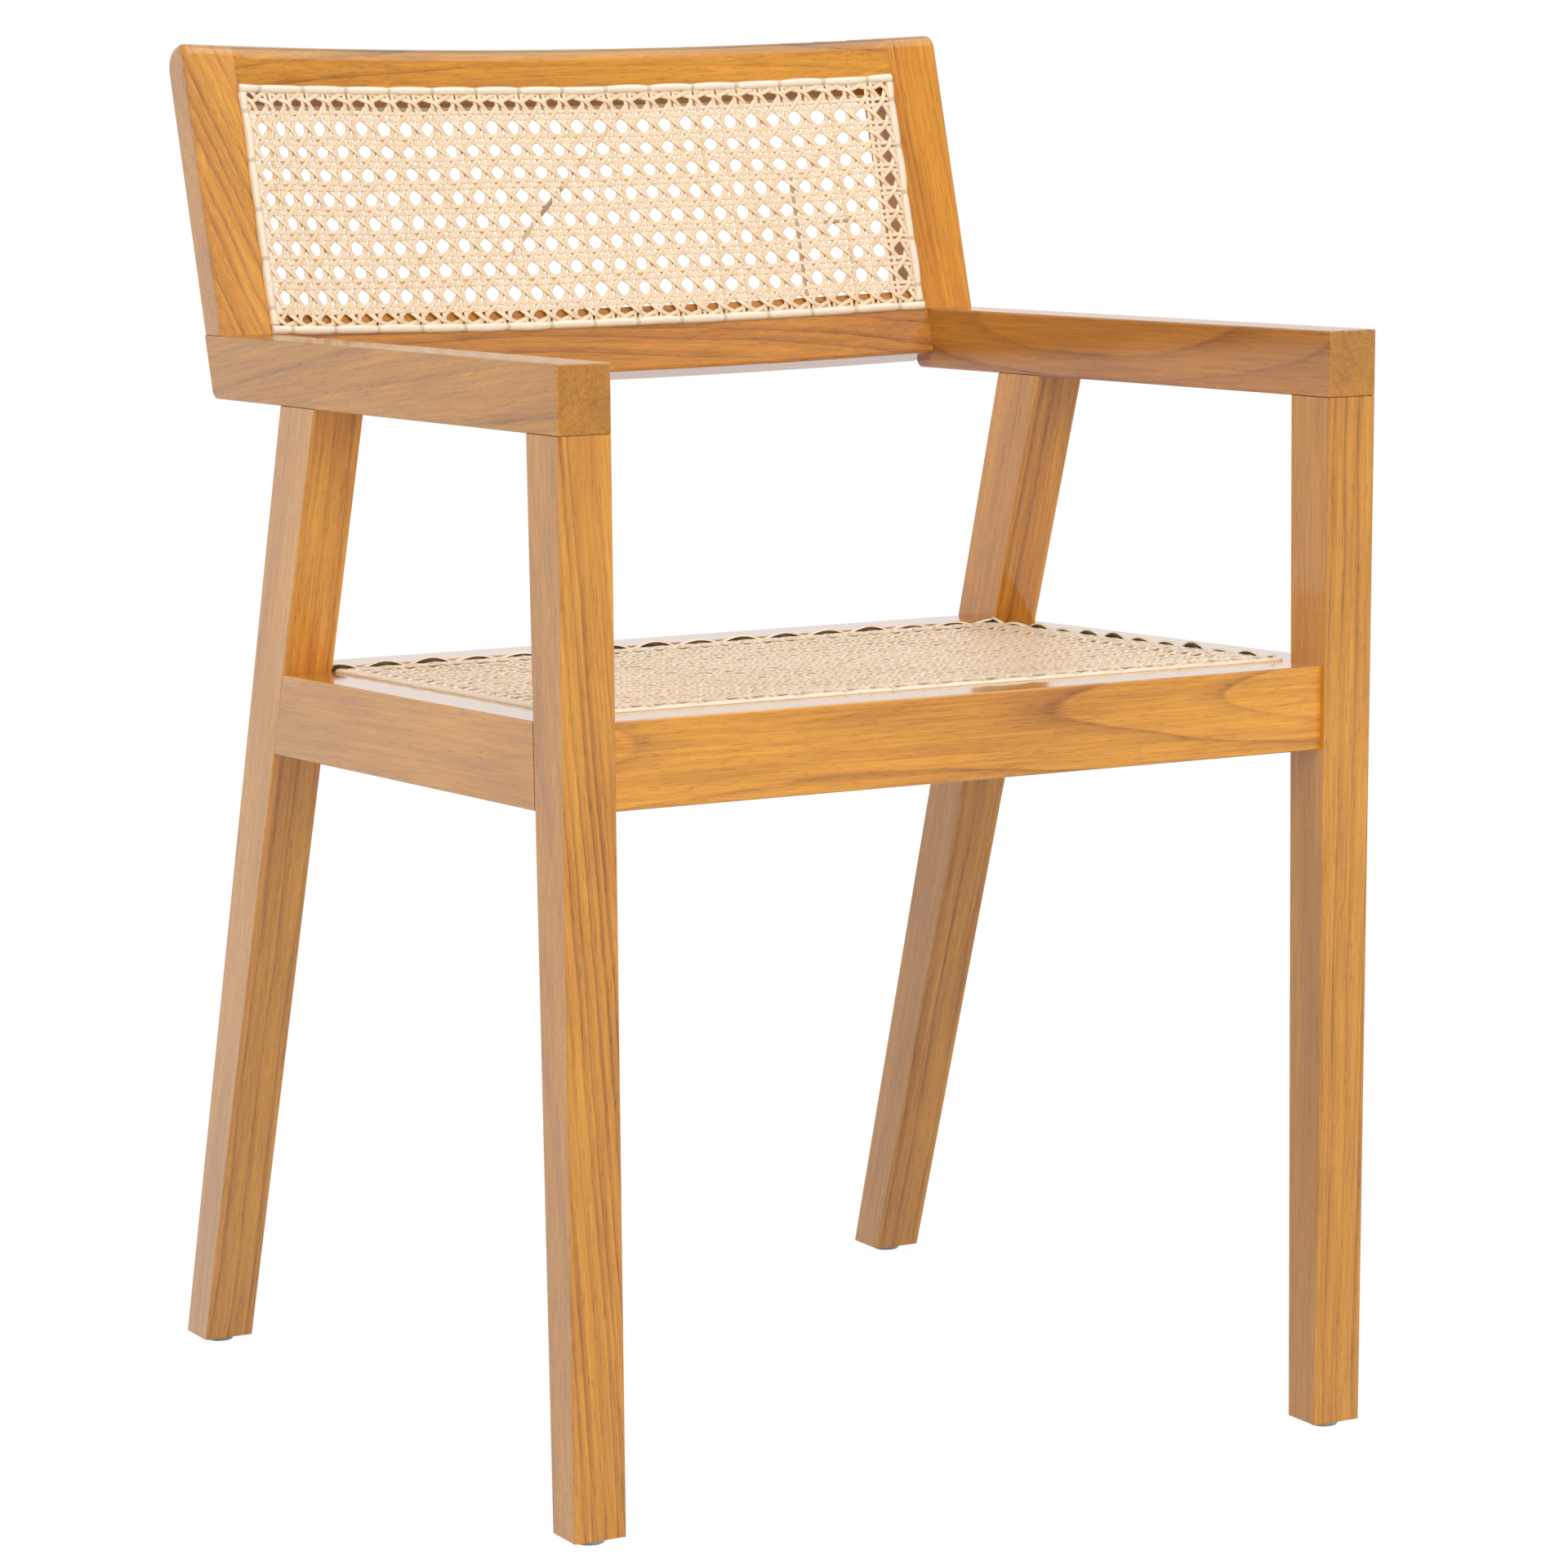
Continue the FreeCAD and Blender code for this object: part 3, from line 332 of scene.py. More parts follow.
# painted shade on the faces that look up, darkened as though less light came from above, more on two boards
TOP_SHADE_PAINT = (0.82, 0.86, 1.0)
BOARD_TOP_SHADE_PAINT = {"arm_left": (0.60, 0.62, 0.72), "back_top_rail": (0.62, 0.68, 0.9)}
# share of the shine on faces that don't look up, and on those that do
COATS = {"arm_left": 0.8, "back_top_rail": 0.4, "back_stile_right": 0.5}
TOP_COATS = {"arm_left": 0.55, "arm_right": 0.6, "back_top_rail": 0.65, "back_stile_left": 0.7,
             "back_stile_right": 0.7}
# share of the year lines on end grain and on faces that look to the left
END_LINES = 0.3
CALM_LINES = 0.35
SIDE_LINES = {"arm_left": 0.7, "arm_right": 1.0}
# thickness of the year lines, and how far they fade, in millimetres
BROAD = {"arm_left": 1.8, "arm_right": 1.6, "back_stile_left": 2.2, "front_leg_left": 1.5,
         "front_leg_right": 1.4, "seat_rail_front": 2.5}
USUAL_FADE = 3.0
FADES = {"arm_right": 5.0, "seat_rail_front": 6.0}
print("boards with a colour of their own", len(BOARD_TONES_AND_PAINTED_LIGHT))

# %% Wood finish of one piece
# across a year line, in shares of its thickness: how dark it is
LINE_SHAPE = [(-0.3, 0.0), (0.1, 0.95), (0.7, 0.5)]
LEAST_GAP = 0.4
SEED_STEP = 1.7
# how far a face looks along the grain, up or to the right, from -1 to 1
END_FACING = 0.9
UPPER_FACING = (0.35, 0.95)
ROUNDING_FACING = (0.3, 0.5)
LEFT_FACING = (-0.9, -0.3)


def year_line(tree, distance, years, thick, fade):
    """1 on the dark side of each year line, fading towards the next; years are distances from the pith."""
    inner, outer = years[0], years[-1]
    share = add_node(tree, "ShaderNodeMapRange", {
        "Value": distance, "From Min": inner*MM, "From Max": outer*MM})
    stops = []
    for year, following in zip(years, years[1:]):
        faded = min(year + fade, following - LEAST_GAP)
        shape = [(year + part*thick, dark) for part, dark in LINE_SHAPE]
        for place, dark in (*shape, (faded, 0.0)):
            stops.append((max(place - inner, 0)/(outer - inner), dark))
    return ramp(tree, share.outputs[0], stops)


def rising(tree, value, limits, first=0.0, second=1.0):
    """Goes from first to second while the value goes from the lower limit to the upper one."""
    low, high = limits
    return add_node(tree, "ShaderNodeMapRange", {
        "Value": value, "From Min": low, "From Max": high, "To Min": first, "To Max": second}).outputs[0]


def wood_finish(name, along, face, pith, years, bend=0.0, start=0.0, squeeze=1.0):
    """Wood for one piece, with its grain along a direction and its pith behind a face.

    The pith's depth and height, and the start along the grain, are in millimetres. Bend curves the rings
    along the grain, and squeeze makes their arches narrower.
    """
    finish, tree = new_material(f"wood_{name}")
    run = Vector(along).normalized()
    out = Vector(face)
    out = (out - out.dot(run)*run).normalized()
    turn = Matrix((run, out, run.cross(out)))
    low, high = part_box(name)
    middle = (Vector(low) + Vector(high))/2
    shift = Vector((-start, pith[0], -pith[1]))*MM - turn @ middle
    spot = tree.nodes.new("ShaderNodeTexCoord")
    laid = add_node(tree, "ShaderNodeMapping", {
        "Vector": spot.outputs["Object"], "Location": shift, "Rotation": turn.to_euler()})
    ring = add_node(tree, "ShaderNodeGroup", node_tree=rings)
    surface = add_node(tree, "ShaderNodeGroup", node_tree=figure)
    for group in (ring, surface):
        tree.links.new(laid.outputs[0], group.inputs["Place"])
        group.inputs["Seed"].default_value = len(bpy.data.materials)*SEED_STEP
    ring.inputs["Bend"].default_value = bend
    ring.inputs["Squeeze"].default_value = squeeze

    normal = spot.outputs["Normal"]
    looks = add_node(tree, "ShaderNodeSeparateXYZ", {0: normal})
    facing = add_node(tree, "ShaderNodeVectorMath", {0: normal, 1: run}, operation="DOT_PRODUCT")
    cut = math_node(tree, "GREATER_THAN", math_node(tree, "ABSOLUTE", facing.outputs["Value"]), END_FACING)
    upper = rising(tree, looks.outputs["Z"], UPPER_FACING)
    rounding = rising(tree, looks.outputs["Z"], ROUNDING_FACING)
    calm = rising(tree, looks.outputs["X"], LEFT_FACING, SIDE_LINES.get(name, CALM_LINES), 1.0)
    weak = math_node(tree, "MULTIPLY", calm, math_node(tree, "MULTIPLY_ADD", cut, END_LINES - 1, 1.0))
    line = year_line(tree, ring.outputs["Distance"], years, BROAD.get(name, 1.0), FADES.get(name, USUAL_FADE))
    tree.links.new(math_node(tree, "MULTIPLY", line, weak), surface.inputs["Line"])

    # each board's colour factors, some of them painted light and shade
    tinted = blended(tree, "MULTIPLY", 1.0, surface.outputs["Colour"], BOARD_TONES_AND_PAINTED_LIGHT.get(name, NO_TINT))
    # faces that look up are darkened: painted shade
    tinted = blended(tree, "MULTIPLY", upper, tinted, BOARD_TOP_SHADE_PAINT.get(name, TOP_SHADE_PAINT))
    sawn = blended(tree, "MULTIPLY", 1.0, surface.outputs["Colour"], END_GRAIN)
    ended = blended(tree, "MIX", cut, tinted, sawn)
    coat, top_coat = COATS.get(name, 1.0), TOP_COATS.get(name, 1.0)
    shining = math_node(tree, "MULTIPLY_ADD", rounding, top_coat - coat, coat)
    bump = add_node(tree, "ShaderNodeBump", {
        "Height": surface.outputs["Relief"], "Strength": 0.2, "Distance": 0.0003})
    skin = add_node(tree, "ShaderNodeBsdfPrincipled", {
        "Base Color": ended, "Roughness": surface.outputs["Shine"], "Normal": bump.outputs[0],
        "Coat Weight": shining, "Coat Roughness": 0.1, "IOR": 1.5, "Specular IOR Level": 0.2})
    add_node(tree, "ShaderNodeOutputMaterial", {"Surface": skin.outputs[0]})
    return finish


# %% Wood of each piece
BACK_LEAN = math.radians(16.2)
BACK_LEG_RUN = (0, 0.207, -0.602)
STILE_RUN = (0, math.sin(BACK_LEAN), math.cos(BACK_LEAN))
FRONT, SIDE, TOP = (0, -1, 0), (-1, 0, 0), (0, 0, 1)
DOWEL_DEPTH = 60
DOWEL_YEARS = 6
# the least and the greatest year, as a share of the usual one
YEAR_SHARES = (0.6, 1.4)
log = numpy.random.default_rng(3)


def some_years(depth, spacing, count=9):
    """Year lines for a piece whose middle lies this deep in the log."""
    steps = log.uniform(*YEAR_SHARES, count)*spacing
    return list(depth + numpy.cumsum(steps) - steps.sum()/2)


# grain direction, face towards the bark, depth and height over the pith, year spacing, bend
WOODEN = {
    "front_leg_left": ((-0.07, 0, 1), (1, -0.2, 0), (170, 10), 6.0, 0.02),
    "front_leg_right": ((0.01, 0, 1), (1, 0.1, 0), (150, -15), 9.0, 0.01),
    "back_leg_left": (BACK_LEG_RUN, (1, -0.4, 0), (120, 20), 13.0, 0.02),
    "back_leg_right": (BACK_LEG_RUN, (1, -0.3, 0), (140, -20), 12.0, -0.02),
    "arm_left": ((0.01, 1, -0.13), (-0.35, 0, 1), (60, 6), 15.0, 0.1),
    "seat_rail_back": ((1, 0, 0.02), FRONT, (70, 5), 8.0, 0.04),
    "seat_rail_left": ((0, 1, -0.04), SIDE, (50, 10), 8.0, -0.07),
    "seat_rail_right": ((0, 1, -0.03), SIDE, (60, 10), 8.0, 0.05),
    "back_stile_left": ((-0.36, *STILE_RUN[1:]), (1, -0.3, 0), (130, 10), 9.0, 0.0),
    "back_stile_right": ((-0.05, *STILE_RUN[1:]), (1, -0.2, 0), (150, 10), 17.0, 0.0),
    "back_top_rail": ((1, 0, 0.01), (0, -0.3, 1), (110, 0), 10.0, 0.0),
    "back_bottom_rail": ((1, 0, -0.03), (0, -0.5, 1), (90, 0), 8.0, -0.05),
}
# boards that show arches, with the distances of their year lines from the pith
FRONT_RAIL_YEARS = [12.0, 31.9, 52.0, 76.0, 90.0]
RIGHT_ARM_YEARS = [20.0, 37.0, 48.0, 66.0]
finishes = {}
finishes["arm_right"] = wood_finish("arm_right", (0, 1, -0.03), SIDE, (14, 20), RIGHT_ARM_YEARS, bend=0.32)
finishes["seat_rail_front"] = wood_finish("seat_rail_front", (1, 0, 0), FRONT, (34.2, -12), FRONT_RAIL_YEARS,
                                          bend=-0.48, start=-78, squeeze=1.67)
for name, (along, face, pith, spacing, bend) in WOODEN.items():
    depth = math.hypot(*pith)
    finishes[name] = wood_finish(name, along, face, pith, some_years(depth, spacing), bend)
for name in ("arm_dowels", "seat_rail_dowels", "back_dowels"):
    finishes[name] = wood_finish(name, (1, 0, 0), TOP, (DOWEL_DEPTH, 0), some_years(DOWEL_DEPTH, DOWEL_YEARS))
for name, finish in finishes.items():
    dress(nodes[name], finish)
print("wooden pieces", len(finishes))

# %% [markdown]
# Where the cane lies
# Both panels are woven in the flat and then laid on the chair. A point of a panel is given by u across the
# chair, v up the back or back along the seat, and w, its height over the wood, all in millimetres. The seat
# is a plane that falls a little to the back. The back leans and is bent round the sitter, so there u is an
# arc.

# %% From panel to chair
SEAT_SLOPE = math.radians(1.9)
SEAT_EDGE = (-277.5, 458.0)
CHAIR_WIDTH = 524
BACK_BOW = 23
BACK_RADIUS = ((CHAIR_WIDTH/2)**2 + BACK_BOW**2)/(2*BACK_BOW)
BACK_FOOT = (171.5, 641.38)


def on_seat(u, v, w):
    """Places on the seat, in metres."""
    y = SEAT_EDGE[0] + v*math.cos(SEAT_SLOPE) + w*math.sin(SEAT_SLOPE)
    z = SEAT_EDGE[1] - v*math.sin(SEAT_SLOPE) + w*math.cos(SEAT_SLOPE)
    return numpy.stack([u, y, z], axis=1)*MM


def on_back(u, v, w):
    """Places on the back, in metres."""
    turn = u/BACK_RADIUS
    deep = (BACK_RADIUS - w)*numpy.cos(turn) - (BACK_RADIUS - BACK_BOW)
    y = BACK_FOOT[0] + deep*math.cos(BACK_LEAN) + v*math.sin(BACK_LEAN)
    z = BACK_FOOT[1] - deep*math.sin(BACK_LEAN) + v*math.cos(BACK_LEAN)
    return numpy.stack([(BACK_RADIUS - w)*numpy.sin(turn), y, z], axis=1)*MM


print("radius of the back in millimetres", round(BACK_RADIUS))

# %% [markdown]
# The weave
# Cane is woven in six steps: a pair of strands upright, a pair level, and one strand along each diagonal.
# The openings between them are eight-sided. On a real chair all strands end in peg holes along the edge, so
# the last cell of the weave is shorter than the others and its diagonals lie flatter. The edge strips hide
# these holes, so they are left out here. The seat's weave lies flat at its rim, dips behind it and sags
# towards the middle. Cells are counted from the first opening.

# %% Panels and their cells
STRIP_WIDTH = 4.5
# the rows of the back rise by this much from the middle to the right edge
BACK_TILT = 1.125
# drift of handwork: millimetres, and the lengths of its waves across and along
DRIFTS = [(0.35, 61, 47), (0.3, 23, -31), (0.2, 13, 17)]
# cells from the edge where the dip and the sag begin, and over how many cells they grow
DIP_START, DIP_REACH = 0.2, 1.3
SAG_START, SAG_REACH = 0.5, 8
FLAT_REACH = 0.75
chance = numpy.random.default_rng(11)


def smoothly(share):
    """From 0 to 1 with a soft start and a soft end."""
    return share*share*(3 - 2*share)


class Panel:
    """One woven panel between the inner edges of its edge strips, in millimetres.

    The shares say how long the first and the last cell of each axis are. Crowded has a centre, a spread and a
    push for each axis: the cells near the centre are pushed along. Height is how far the weave lies over the
    wood, lift a share of the over and under, rim how many cells inside the edge the strands start to flatten,
    dip and sag how far the weave hangs, and uneven how much its strands differ in height.
    """

    def __init__(self, name, place, cells, u_edges, v_edges, u_shares, v_shares,
                 crowded=((0, 1, 0), (0, 1, 0)), tilt=0.0, thick=0.75, height=1.6, lift=1.0, rim=0.0, dip=0.0,
                 sag=0.0, uneven=0.0):
        self.name = name
        self.place = place
        self.cells = cells
        self.edges = (u_edges, v_edges)
        self.crowded = crowded
        self.tilt = tilt
        self.thick = thick
        self.height = height
        self.lift = lift
        self.rim = rim
        self.dip = dip
        self.sag = sag
        self.uneven = uneven
        self.pitch = []
        self.first = []
        self.to_holes = []
        for axis, shares in enumerate((u_shares, v_shares)):
            count = cells[axis]
            low, high = self.edges[axis]
            centre, spread, push = crowded[axis]
            squeeze = 0 if centre else push
            pitch = (high - low + squeeze)/(count - 1 + sum(shares))
            self.pitch.append(pitch)
            self.first.append(low + shares[0]*pitch - squeeze)
            self.to_holes.append([share + STRIP_WIDTH/2/pitch for share in shares])
        self.wander = chance.uniform(0, 2*math.pi, (2, 3))

    def lay(self, axis, cells):
        """From cells to millimetres along one axis; the cells at the edges are shorter, some are crowded."""
        inside = numpy.clip(cells, 0, self.cells[axis] - 1)
        centre, spread, push = self.crowded[axis]
        crowd = push*numpy.exp(-((inside - centre)/spread)**2)
        before, after = self.to_holes[axis]
        past = (cells - inside)*numpy.where(cells < inside, before, after)
        return self.first[axis] + self.pitch[axis]*(inside + past) + crowd

    def spot(self, u_cells, v_cells):
        """The place of a point of the weave, with the slow drift of handwork."""
        u = self.lay(0, u_cells)
        v = self.lay(1, v_cells) + self.tilt*u/self.edges[0][1]*(1 - self.past_edge(u_cells, v_cells))
        drift = []
        for phases in self.wander:
            waves = [amount*numpy.sin(u/across + v/along + phase)
                     for (amount, across, along), phase in zip(DRIFTS, phases)]
            drift.append(sum(waves))
        return u + drift[0], v + drift[1]

    def hang(self, u_cells, v_cells):
        """How far the weave hangs: not over the wood, but it dips behind the edge and sags in the middle."""
        columns, rows = self.cells
        inward = numpy.minimum.reduce([u_cells, columns - 1 - u_cells, v_cells, rows - 1 - v_cells])
        dip = self.dip*smoothly(numpy.clip((inward - DIP_START)/DIP_REACH, 0, 1))
        return dip + self.sag*smoothly(numpy.clip((inward - SAG_START)/SAG_REACH, 0, 1))

    def beyond(self, u_cells, v_cells):
        """Cells outwards from the middle of the outer openings, so that the peg holes lie at 1."""
        columns, rows = self.cells
        return numpy.maximum.reduce([-u_cells, u_cells - columns + 1, -v_cells, v_cells - rows + 1])

    def past_edge(self, u_cells, v_cells):
        """0 inside the outer openings, growing to 1 at the line of peg holes."""
        return numpy.clip(self.beyond(u_cells, v_cells), 0, 1)

    def flatness(self, u_cells, v_cells):
        """1 where the strands lie flat on the wood before they go down their holes, 0 inside."""
        outward = self.beyond(u_cells, v_cells) + self.rim
        return smoothly(numpy.clip(outward/(FLAT_REACH + self.rim), 0, 1))


back_panel = Panel("back", on_back, (30, 10), (-224.0, 224.0), (6.0, 150.0), (0.42, 0.34), (0.22, 0.28),
                   crowded=((0, 2.2, 5.0), (7.9, 1.3, -2.0)), tilt=BACK_TILT)
seat_panel = Panel("seat", on_seat, (30, 22), (-226.5, 226.5), (49.6, 368.0), (0.4, 0.4), (0.3, 0.4),
                   thick=0.6, height=1.5, lift=0.8, rim=0.8, dip=1.2, sag=1.5, uneven=0.25)
for panel in (back_panel, seat_panel):
    print(panel.name, "pitch of the weave", [round(pitch, 2) for pitch in panel.pitch])

# %% [markdown]
# Strands
# A strand is a long thin strip with a slightly round face. One stretch of it, as long as one cell, is
# modelled as a small grid, and two Array modifiers lay it out in rows, like strands side by side on a
# table. Each row is then woven: its points move to the strand's path and rise and dip where it goes over
# and under the others. Solidify gives it its thickness. Weaving by rule is quick and even, but it doesn't
# feel for contact: at some crossings the strands cut into each other.

# %% Strands side by side on a table
TABLE_PITCH = 15*MM
STRETCH_STEPS = 8
CROWN = 0.22*MM
CLOSE = 0.1*MM
TOLERANCE = 0.01*MM
SMOOTH_ANGLE = math.radians(50)


def places_of(mesh):
    """The places of a mesh's points, one row for each."""
    flat = numpy.empty(len(mesh.vertices)*3)
    mesh.vertices.foreach_get("co", flat)
    return flat.reshape(-1, 3)


def to_mode(mode):
    """Change to edit mode or back to object mode."""
    bpy.ops.object.mode_set(mode=mode)


def apply_all(piece):
    """Apply all modifiers of a piece, in their order."""
    bpy.context.view_layer.objects.active = piece
    for modifier in list(piece.modifiers):
        bpy.ops.object.modifier_apply(modifier=modifier.name)


def select_places(piece, wanted):
    """Select the vertices for which wanted(place) is true and go to edit mode."""
    to_mode("EDIT")
    bpy.ops.mesh.select_all(action="DESELECT")
    bpy.ops.mesh.select_mode(type="VERT")
    to_mode("OBJECT")
    for vertex in piece.data.vertices:
        vertex.select = wanted(vertex.co)
    to_mode("EDIT")


def repeat(piece, count, step, merge):
    """Add an Array modifier that repeats the piece at every step."""
    rows = piece.modifiers.new("rows", "ARRAY")
    rows.count = count
    rows.use_relative_offset = False
    rows.use_constant_offset = True
    rows.constant_offset_displace = step
    rows.use_merge_vertices = merge
    rows.merge_threshold = TOLERANCE


def strands_on_table(name, count, cells, width):
    """Straight strands along X, this many side by side and this many cells long."""
    bpy.ops.object.select_all(action="DESELECT")
    bpy.ops.mesh.primitive_grid_add(x_subdivisions=STRETCH_STEPS, y_subdivisions=2, size=TABLE_PITCH,
                                    location=(TABLE_PITCH/2, 0, 0))
    strand = bpy.context.object
    strand.name = name
    bpy.ops.object.transform_apply()
    to_mode("EDIT")
    bpy.ops.transform.resize(value=(1, width*MM/TABLE_PITCH, 1), center_override=(0, 0, 0))
    to_mode("OBJECT")
    select_places(strand, lambda place: abs(place.y) < CLOSE)
    bpy.ops.transform.translate(value=(0, 0, CROWN))
    to_mode("OBJECT")
    repeat(strand, cells, (TABLE_PITCH, 0, 0), merge=True)
    repeat(strand, count, (0, TABLE_PITCH, 0), merge=False)
    apply_all(strand)
    return strand


# %% Weaving
EDGE_HEIGHT = 0.7
PAIR_APART = {"upright": 2.1, "level": 1.9}
PAIR_LIFT = 0.5
DIAGONAL_LIFT = 1.0
STRAIGHT_WIDTH = 2.1
DIAGONAL_WIDTH = 2.45
SLOPE_STEP = 1/STRETCH_STEPS
# at the edge, pairs come closer and strands rise less
EDGE_CLOSER = 0.35
EDGE_LIFT = 0.3
PAIR_SLIP = 0.5
OWN_SLIP = 0.25
# stained stretches: panel, direction, strand, from and to in cells, how dark
STAINS = [
    ("back", "rising", 18, 11.1, 12.3, 3.4),
    ("back", "rising", 18, 12.3, 13.8, 5.2),
    ("back", "rising", 18, 13.8, 17.0, 2.6),
    ("back", "upright", 48, 0.2, 5.4, 5.6),
    ("back", "level", 7, 25.5, 27.0, 4.5),
]
STAIN_CHANCE = 0.12
STAIN_LENGTHS = (0.5, 3.0)
STAIN_DEPTHS = (0.8, 2.2)


def pair_wave(cells):
    """Over and under within one crossing of pairs, flat between the crossings."""
    from_crossing = cells - numpy.floor(cells) - 0.5
    return numpy.sin(4*math.pi*from_crossing)*numpy.cos(math.pi*from_crossing)**2


def strand_path(panel, direction, strand, step):
    """Cells across and along, and the strand's side and lift, for a strand number and a place along it."""
    rows = panel.cells[1]
    along = step - 1
    if direction == "upright":
        side = strand % 2*2 - 1
        return strand//2 + 0.5 + 0*along, along, side, side*PAIR_LIFT*pair_wave(along)
    if direction == "level":
        side = strand % 2*2 - 1
        return along, strand//2 + 0.5 + 0*along, side, side*PAIR_LIFT*pair_wave(along)
    over = DIAGONAL_LIFT*numpy.cos(2*math.pi*(along - 0.5))
    if direction == "rising":
        return along, along - (strand - rows) - 0.5, 0*along, -over
    return along, strand - 0.5 - along, 0*along, over


def cut_to_panel(strands, panel, direction):
    """Delete the faces that lie outside the panel."""
    mesh = strands.data
    centres = numpy.empty(len(mesh.polygons)*3)
    mesh.polygons.foreach_get("center", centres)
    centres = centres.reshape(-1, 3)/TABLE_PITCH
    u_cells, v_cells = strand_path(panel, direction, numpy.rint(centres[:, 1]), centres[:, 0])[:2]
    columns, rows = panel.cells
    outside = (u_cells < -1) | (u_cells > columns) | (v_cells < -1) | (v_cells > rows)
    to_mode("EDIT")
    bpy.ops.mesh.select_mode(type="FACE")
    bpy.ops.mesh.select_all(action="DESELECT")
    to_mode("OBJECT")
    mesh.polygons.foreach_set("select", outside)
    to_mode("EDIT")
    bpy.ops.mesh.delete(type="FACE")
    to_mode("OBJECT")


def weave(panel, direction):
    """All strands of one direction in one panel, as one piece."""
    columns, rows = panel.cells
    counts = {"upright": (2*(columns - 1), rows + 1), "level": (2*(rows - 1), columns + 1)}
    count, cells = counts.get(direction, (columns + rows, columns + 1))
    width = STRAIGHT_WIDTH if direction in counts else DIAGONAL_WIDTH
    strands = strands_on_table(f"{panel.name}_cane_{direction}", count, cells, width)
    if direction not in counts:
        cut_to_panel(strands, panel, direction)
    mesh = strands.data
    flat = places_of(mesh)
    strand = numpy.rint(flat[:, 1]/TABLE_PITCH).astype(int)
    step = flat[:, 0]/TABLE_PITCH
    aside = flat[:, 1]/MM - strand*TABLE_PITCH/MM
    u_cells, v_cells, side, lift = strand_path(panel, direction, strand, step)
    edge = panel.past_edge(u_cells, v_cells)
    pair_slip = chance.uniform(-PAIR_SLIP, PAIR_SLIP, count)[strand//2]
    own_slip = chance.uniform(-OWN_SLIP, OWN_SLIP, count)[strand]
    aside += side*PAIR_APART.get(direction, 0)*(1 - EDGE_CLOSER*edge) + (pair_slip + own_slip)*(1 - edge)
    before = panel.spot(*strand_path(panel, direction, strand, step - SLOPE_STEP)[:2])
    after = panel.spot(*strand_path(panel, direction, strand, step + SLOPE_STEP)[:2])
    run_u, run_v = after[0] - before[0], after[1] - before[1]
    length = numpy.hypot(run_u, run_v)
    u, v = panel.spot(u_cells, v_cells)
    u += aside*run_v/length
    v -= aside*run_u/length
    down = panel.flatness(u_cells, v_cells)
    lift = lift*panel.lift
    w = (panel.height + lift)*(1 - down) + (EDGE_HEIGHT + EDGE_LIFT*lift)*down + flat[:, 2]/MM
    w -= panel.hang(u_cells, v_cells)
    w += chance.uniform(-panel.uneven, panel.uneven, count)[strand]*(1 - edge)
    tone = chance.normal(0, 1, count)[strand] - stain_depth(panel, direction, strand, step - 1, count)
    add_strand_marks(mesh, flat, tone)
    mesh.vertices.foreach_set("co", panel.place(u, v, w).ravel())
    mesh.update()
    thick = strands.modifiers.new("thickness", "SOLIDIFY")
    thick.thickness = panel.thick*MM
    thick.offset = -1
    apply_all(strands)
    bpy.ops.object.shade_smooth_by_angle(angle=SMOOTH_ANGLE)
    return strands


def stain_depth(panel, direction, strand, along, count):
    """How much darker each point is, for the known stains and for a few by chance."""
    stains = [stain[2:] for stain in STAINS if stain[:2] == (panel.name, direction)]
    for number in range(count):
        if chance.uniform() < STAIN_CHANCE:
            begin = chance.uniform(0, along.max())
            end = begin + chance.uniform(*STAIN_LENGTHS)
            stains.append((number, begin, end, chance.uniform(*STAIN_DEPTHS)))
    dark = numpy.zeros(len(along))
    for number, begin, end, depth in stains:
        dark += depth*((strand == number) & (along > begin) & (along < end))
    return dark


def add_strand_marks(mesh, flat, tone):
    """Each strand's own tone, and a map of its length and width for the fibres."""
    mark = mesh.attributes.new("tone", "FLOAT", "POINT")
    mark.data.foreach_set("value", tone)
    corner = numpy.empty(len(mesh.loops), dtype=int)
    mesh.loops.foreach_get("vertex_index", corner)
    mesh.uv_layers[0].data.foreach_set("uv", (flat[corner, :2]/TABLE_PITCH).ravel())


# %% [markdown]
# Cane finish
# Cane is the glossy skin of rattan, straw-coloured with fine lengthwise fibres and a few brown stretches.
# Each strand has its own tone, because strands come from different stems. The fibres follow the strand's
# own map. The cut edges of each strand are darker, partly for the cut's own colour and partly as painted
# shade between the strands. The seat's cane is paler than the back's, a painted light for a weave seen at a
# low angle. The edge strips of the seat are darkened below as painted shade, so that the gaps under them
# look as dark as they should.

# %% Cane finish
STAINED_SHARE = (0.42, 0.33, 0.27)
WARM_SHARE = (0.91, 0.81, 0.66)
# darker cut edges of a strand: partly the duller colour of the cut, partly painted shade between strands
CUT_EDGE_AND_SHADE = (0.76, 0.61, 0.44)
SPECK = (0.45, 0.34, 0.25)


